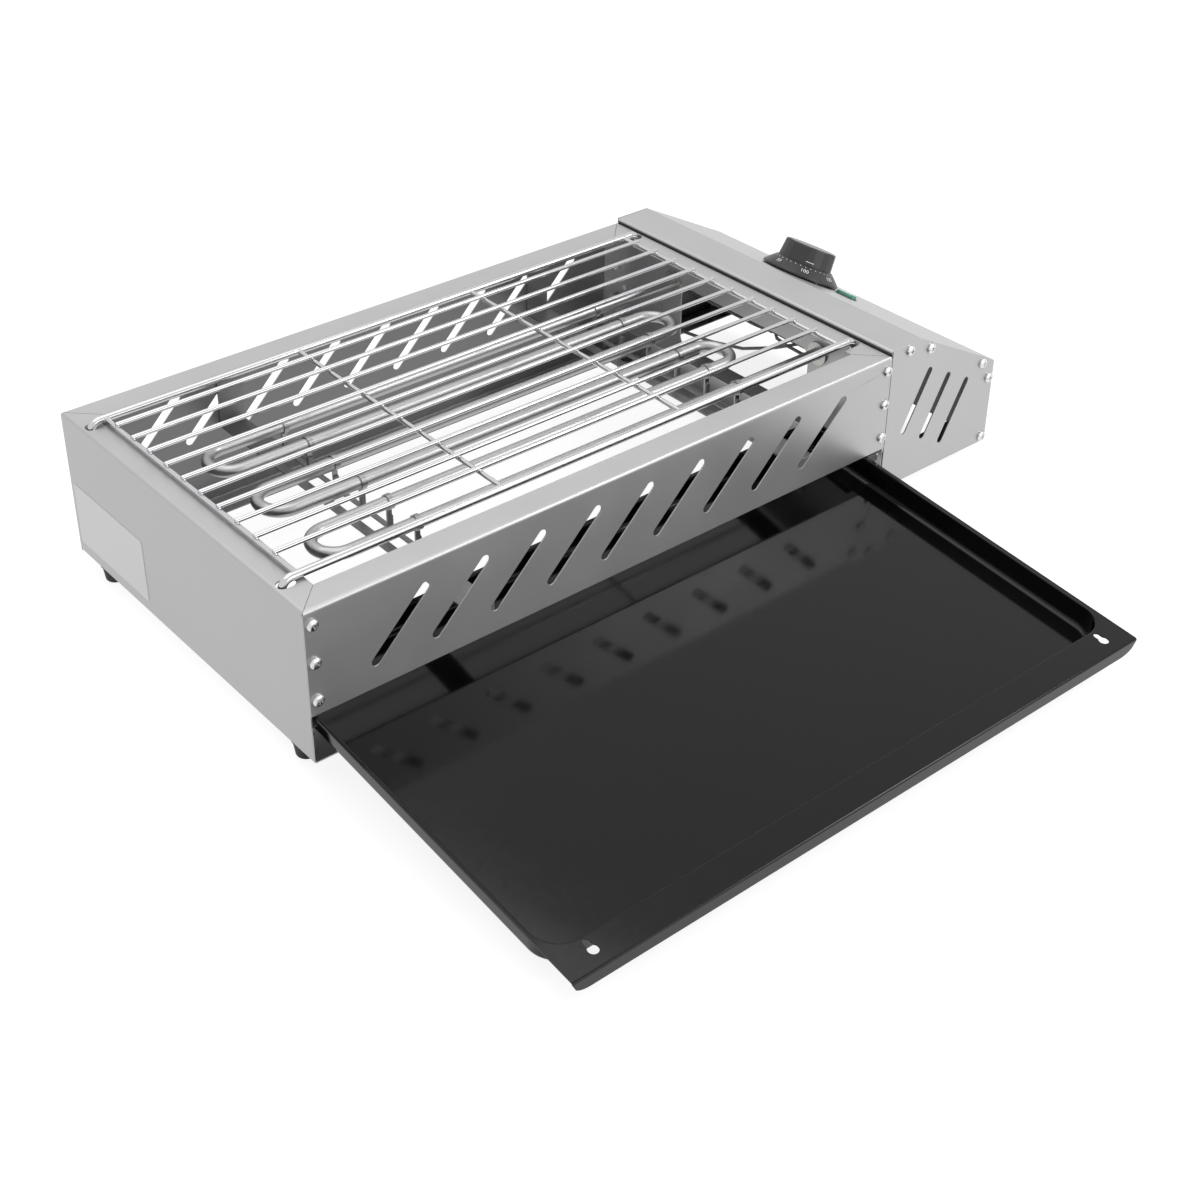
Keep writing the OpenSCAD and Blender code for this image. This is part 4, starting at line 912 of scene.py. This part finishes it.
def digits(text):
    """Plain numbers as a thin mesh, centred on the origin."""
    data = bpy.data.curves.new("digits", "FONT")
    data.body = text
    data.size = NUMBER_H * FONT_SHARE
    data.align_x = "CENTER"
    data.align_y = "CENTER"
    data.extrude = INK
    data.resolution_u = 4
    obj = link(bpy.data.objects.new("digits", data))
    bpy.context.view_layer.update()
    mesh = bpy.data.meshes.new_from_object(obj.evaluated_get(bpy.context.evaluated_depsgraph_get()))
    verts = [v.co.copy() for v in mesh.vertices]
    faces = [tuple(p.vertices) for p in mesh.polygons]
    bpy.data.objects.remove(obj)
    bpy.data.curves.remove(data)
    bpy.data.meshes.remove(mesh)
    return verts, faces


def make_dial_marks(matrix):
    parts = []
    for k, text in enumerate(NUMBERS):
        verts, faces = digits(text)
        parts.append((place(verts, on_skirt(NUMBER_R, NUMBER_START + k * NUMBER_STEP)), faces))
    dot = lathe([(0, -INK), (DOT_R, -INK), (DOT_R, INK), (0, INK * 1.2)], 12)
    for k in range((len(NUMBERS) - 1) * NUMBER_STEP // DOT_STEP + 1):
        parts.append((place(dot[0], on_skirt(DOTS_AT, NUMBER_START + k * DOT_STEP)), dot[1]))
    parts.append(dash())
    obj = mesh_piece("dial_marks", *joined(parts), "paint", False)
    obj.data.transform(matrix)
    give(obj, "dial", "grey_plastic")


def dash():
    """Short light line low on the grip."""
    verts, faces, steps = [], [], 16
    for k in range(steps + 1):
        angle = math.radians(DASH_AT - DASH_HALF + 2 * DASH_HALF * k / steps) + CAMERA_SIDE
        for z in DASH_Z:
            up = (z - SKIRT_H) / (KNOB_H - SKIRT_H)
            r = flute(GRIP_R + (GRIP_TOP_R - GRIP_R) * up, z, angle)
            for lift in (INK * 2, -INK * 4):
                verts.append(((r + lift) * math.cos(angle), (r + lift) * math.sin(angle), z))
    for k in range(steps):
        a, b = 4 * k, 4 * k + 4
        faces += [(a, b, b + 2, a + 2), (a + 3, b + 3, b + 1, a + 1), (a + 1, b + 1, b, a),
                  (a + 2, b + 2, b + 3, a + 3)]
    faces += [(0, 2, 3, 1), (4 * steps + 1, 4 * steps + 3, 4 * steps + 2, 4 * steps)]
    return verts, faces


def stadium(length, width, steps=12):
    """Outline of an oblong with round ends, long along Y."""
    r = width / 2
    run = (length - width) / 2
    points = []
    for end, start in ((run, 0), (-run, math.pi)):
        for k in range(steps + 1):
            a = start + math.pi * k / steps
            points.append((r * math.cos(a), end + r * math.sin(a)))
    return points


LENS_W = 8 * MM
LENS_H = 2.6 * MM
# Each ring of the lens: its inset in mm, and its height as a share
LENS_CROWN = [(0.0, 0.0), (0.0, 0.45), (0.12, 0.62), (0.35, 0.78), (0.75, 0.92), (1.5, 0.985), (2.6, 1.0)]


def make_lens():
    """Green lens: an oblong with a rounded edge and a shallow crown."""
    low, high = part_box("pilot_lens")
    z_axis = Vector(JOINTS["dial_turn"]["axis"]).normalized()
    y_axis = Vector((0, 1, 0))
    x_axis = y_axis.cross(z_axis)
    length = high.y - low.y
    centre = (low + high) / 2 - z_axis * LENS_H / 2
    rings = [[(x, y, share * LENS_H) for x, y in stadium(length - 2 * by * MM, LENS_W - 2 * by * MM)]
             for by, share in LENS_CROWN]
    obj = mesh_piece("lamp_lens", *stacked(rings, closed=True), "lens")
    by_angle(obj, 40)
    obj.data.transform(axes(x_axis, y_axis, z_axis, centre))
    give(obj, "housing", "green_lens", "pilot_lens")


# ---------------------------------------------------------------- feet, label plate and cord inlet

FOOT_STEM_R = 3.4 * MM
FOOT_TIP_SHARE = 13 / 17
FOOT_TREAD_R = 2 * MM
FOOT_RECESS_H = 1.4 * MM
FOOT_STEPS = 48


def make_feet():
    """Rubber feet: a tapered cup with a rounded tread and a recess, and its barb above the flange."""
    parts = []
    for low, high in islands("feet"):
        at = Vector(((low.x + high.x) / 2, (low.y + high.y) / 2, low.z))
        top_r = (high.x - low.x) / 2
        h = abs(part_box("left_panel")[0].z - low.z)
        tip, barb, top = top_r * FOOT_TIP_SHARE, h + SHEET, high.z - low.z
        profile = [(0, FOOT_RECESS_H), (2.2 * MM, FOOT_RECESS_H), (2.6 * MM, 0)]
        profile += arc(tip - FOOT_TREAD_R, FOOT_TREAD_R, FOOT_TREAD_R, -90, -10, 6)
        profile += [(tip + 0.2 * MM, 0.3 * h), (top_r - 0.9 * MM, 0.82 * h), (top_r - 0.5 * MM, 0.86 * h),
                    (top_r, 0.9 * h), (top_r, h - 0.1 * MM), (top_r - 0.1 * MM, h), (FOOT_STEM_R, h),
                    (FOOT_STEM_R, barb), (4.75 * MM, barb), (4.6 * MM, barb + 0.6 * MM),
                    (3.5 * MM, barb + 2.4 * MM), (3.2 * MM, top), (0, top)]
        verts, faces = lathe(profile, FOOT_STEPS)
        parts.append(([at + Vector(v) for v in verts], faces))
    obj = mesh_piece("rubber_feet", *joined(parts), "rubber")
    by_angle(obj, 40)
    give(obj, "housing", "rubber", "feet")


PLATE_R = 2.2 * MM
# Each ring of the plate: its inset in mm, and its depth as a share of the thickness
PLATE_BORDER = [(0, 1), (0, 0.3), (0.08, 0), (0.9, 0), (1.0, 0.25), (1.15, 0.25)]


def make_label():
    """Bare plate with rounded corners and a fine raised border."""
    low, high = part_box("label_plate")
    y0, y1, z0, z1 = low.y + PLATE_R, high.y - PLATE_R, low.z + PLATE_R, high.z - PLATE_R

    def ring(inset, x, steps=6):
        points = []
        r = PLATE_R - inset
        for cy, cz, a0 in ((y1, z1, 0), (y0, z1, 90), (y0, z0, 180), (y1, z0, 270)):
            for k in range(steps + 1):
                a = math.radians(a0 + 90 * k / steps)
                points.append((x, cy + r * math.cos(a), cz + r * math.sin(a)))
        return points

    rings = [ring(inset * MM, low.x + share * (high.x - low.x)) for inset, share in PLATE_BORDER]
    verts, faces = stacked(rings, closed=True)
    walls = len(faces) - 2
    faces[:walls] = [(a, d, c, b) for a, b, c, d in faces[:walls]]
    obj = mesh_piece("bare_plate", verts, faces, "plate")
    by_angle(obj, 30)
    give(obj, "housing", "label", "label_plate")


GLAND_R = 7.6 * MM
GLAND_BORE = 4.2 * MM
GLAND_RINGS = 4
RING_PITCH = 1.6 * MM
RING_TAPER = 0.28 * MM
GLAND_STEPS = 56


def make_gland():
    """Cord inlet with grip rings round its sleeve."""
    low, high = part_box("cord_gland")
    wall_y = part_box("control_cheek_back")[1].y
    at = Vector(((low.x + high.x) / 2, wall_y, (low.z + high.z) / 2))
    flange = (high.x - low.x) / 2
    inner, outer = low.y - wall_y, high.y - wall_y
    r = GLAND_R
    profile = [(GLAND_BORE, inner), (r - 0.3 * MM, inner), (r, inner + 0.3 * MM), (r, 0),
               (flange - 0.1 * MM, 0), (flange, 0.3 * MM), (flange, 2.6 * MM), (flange - MM, 3.6 * MM),
               (r + 0.7 * MM, 3.6 * MM)]
    for k in range(GLAND_RINGS):
        y = 3.9 * MM + k * RING_PITCH
        crest, groove = r + 0.55 * MM - k * RING_TAPER, r - 0.2 * MM - k * RING_TAPER
        profile += [(crest, y), (crest, y + 0.8 * MM), (groove, y + MM), (groove, y + 1.4 * MM)]
    profile += [(r - MM, outer - 0.4 * MM), (r - 1.4 * MM, outer), (GLAND_BORE + 0.4 * MM, outer),
                (GLAND_BORE, outer - 0.4 * MM), (GLAND_BORE, inner)]
    verts, faces = lathe(profile, GLAND_STEPS)
    turn = axes(Vector((1, 0, 0)), Vector((0, 0, -1)), Vector((0, 1, 0)), at)
    obj = mesh_piece("cord_inlet", place(verts, turn), faces, "plastic")
    by_angle(obj, 35)
    give(obj, "housing", "black_plastic", "cord_gland")


# ---------------------------------------------------------------- the scene

make_camera()
make_world()
make_floor()
make_lamps()
dress_nodes()
make_screws()
make_tray()
make_rack()
make_knob()
make_lens()
make_feet()
make_label()
make_gland()

bpy.context.scene.view_settings.view_transform = "Standard"
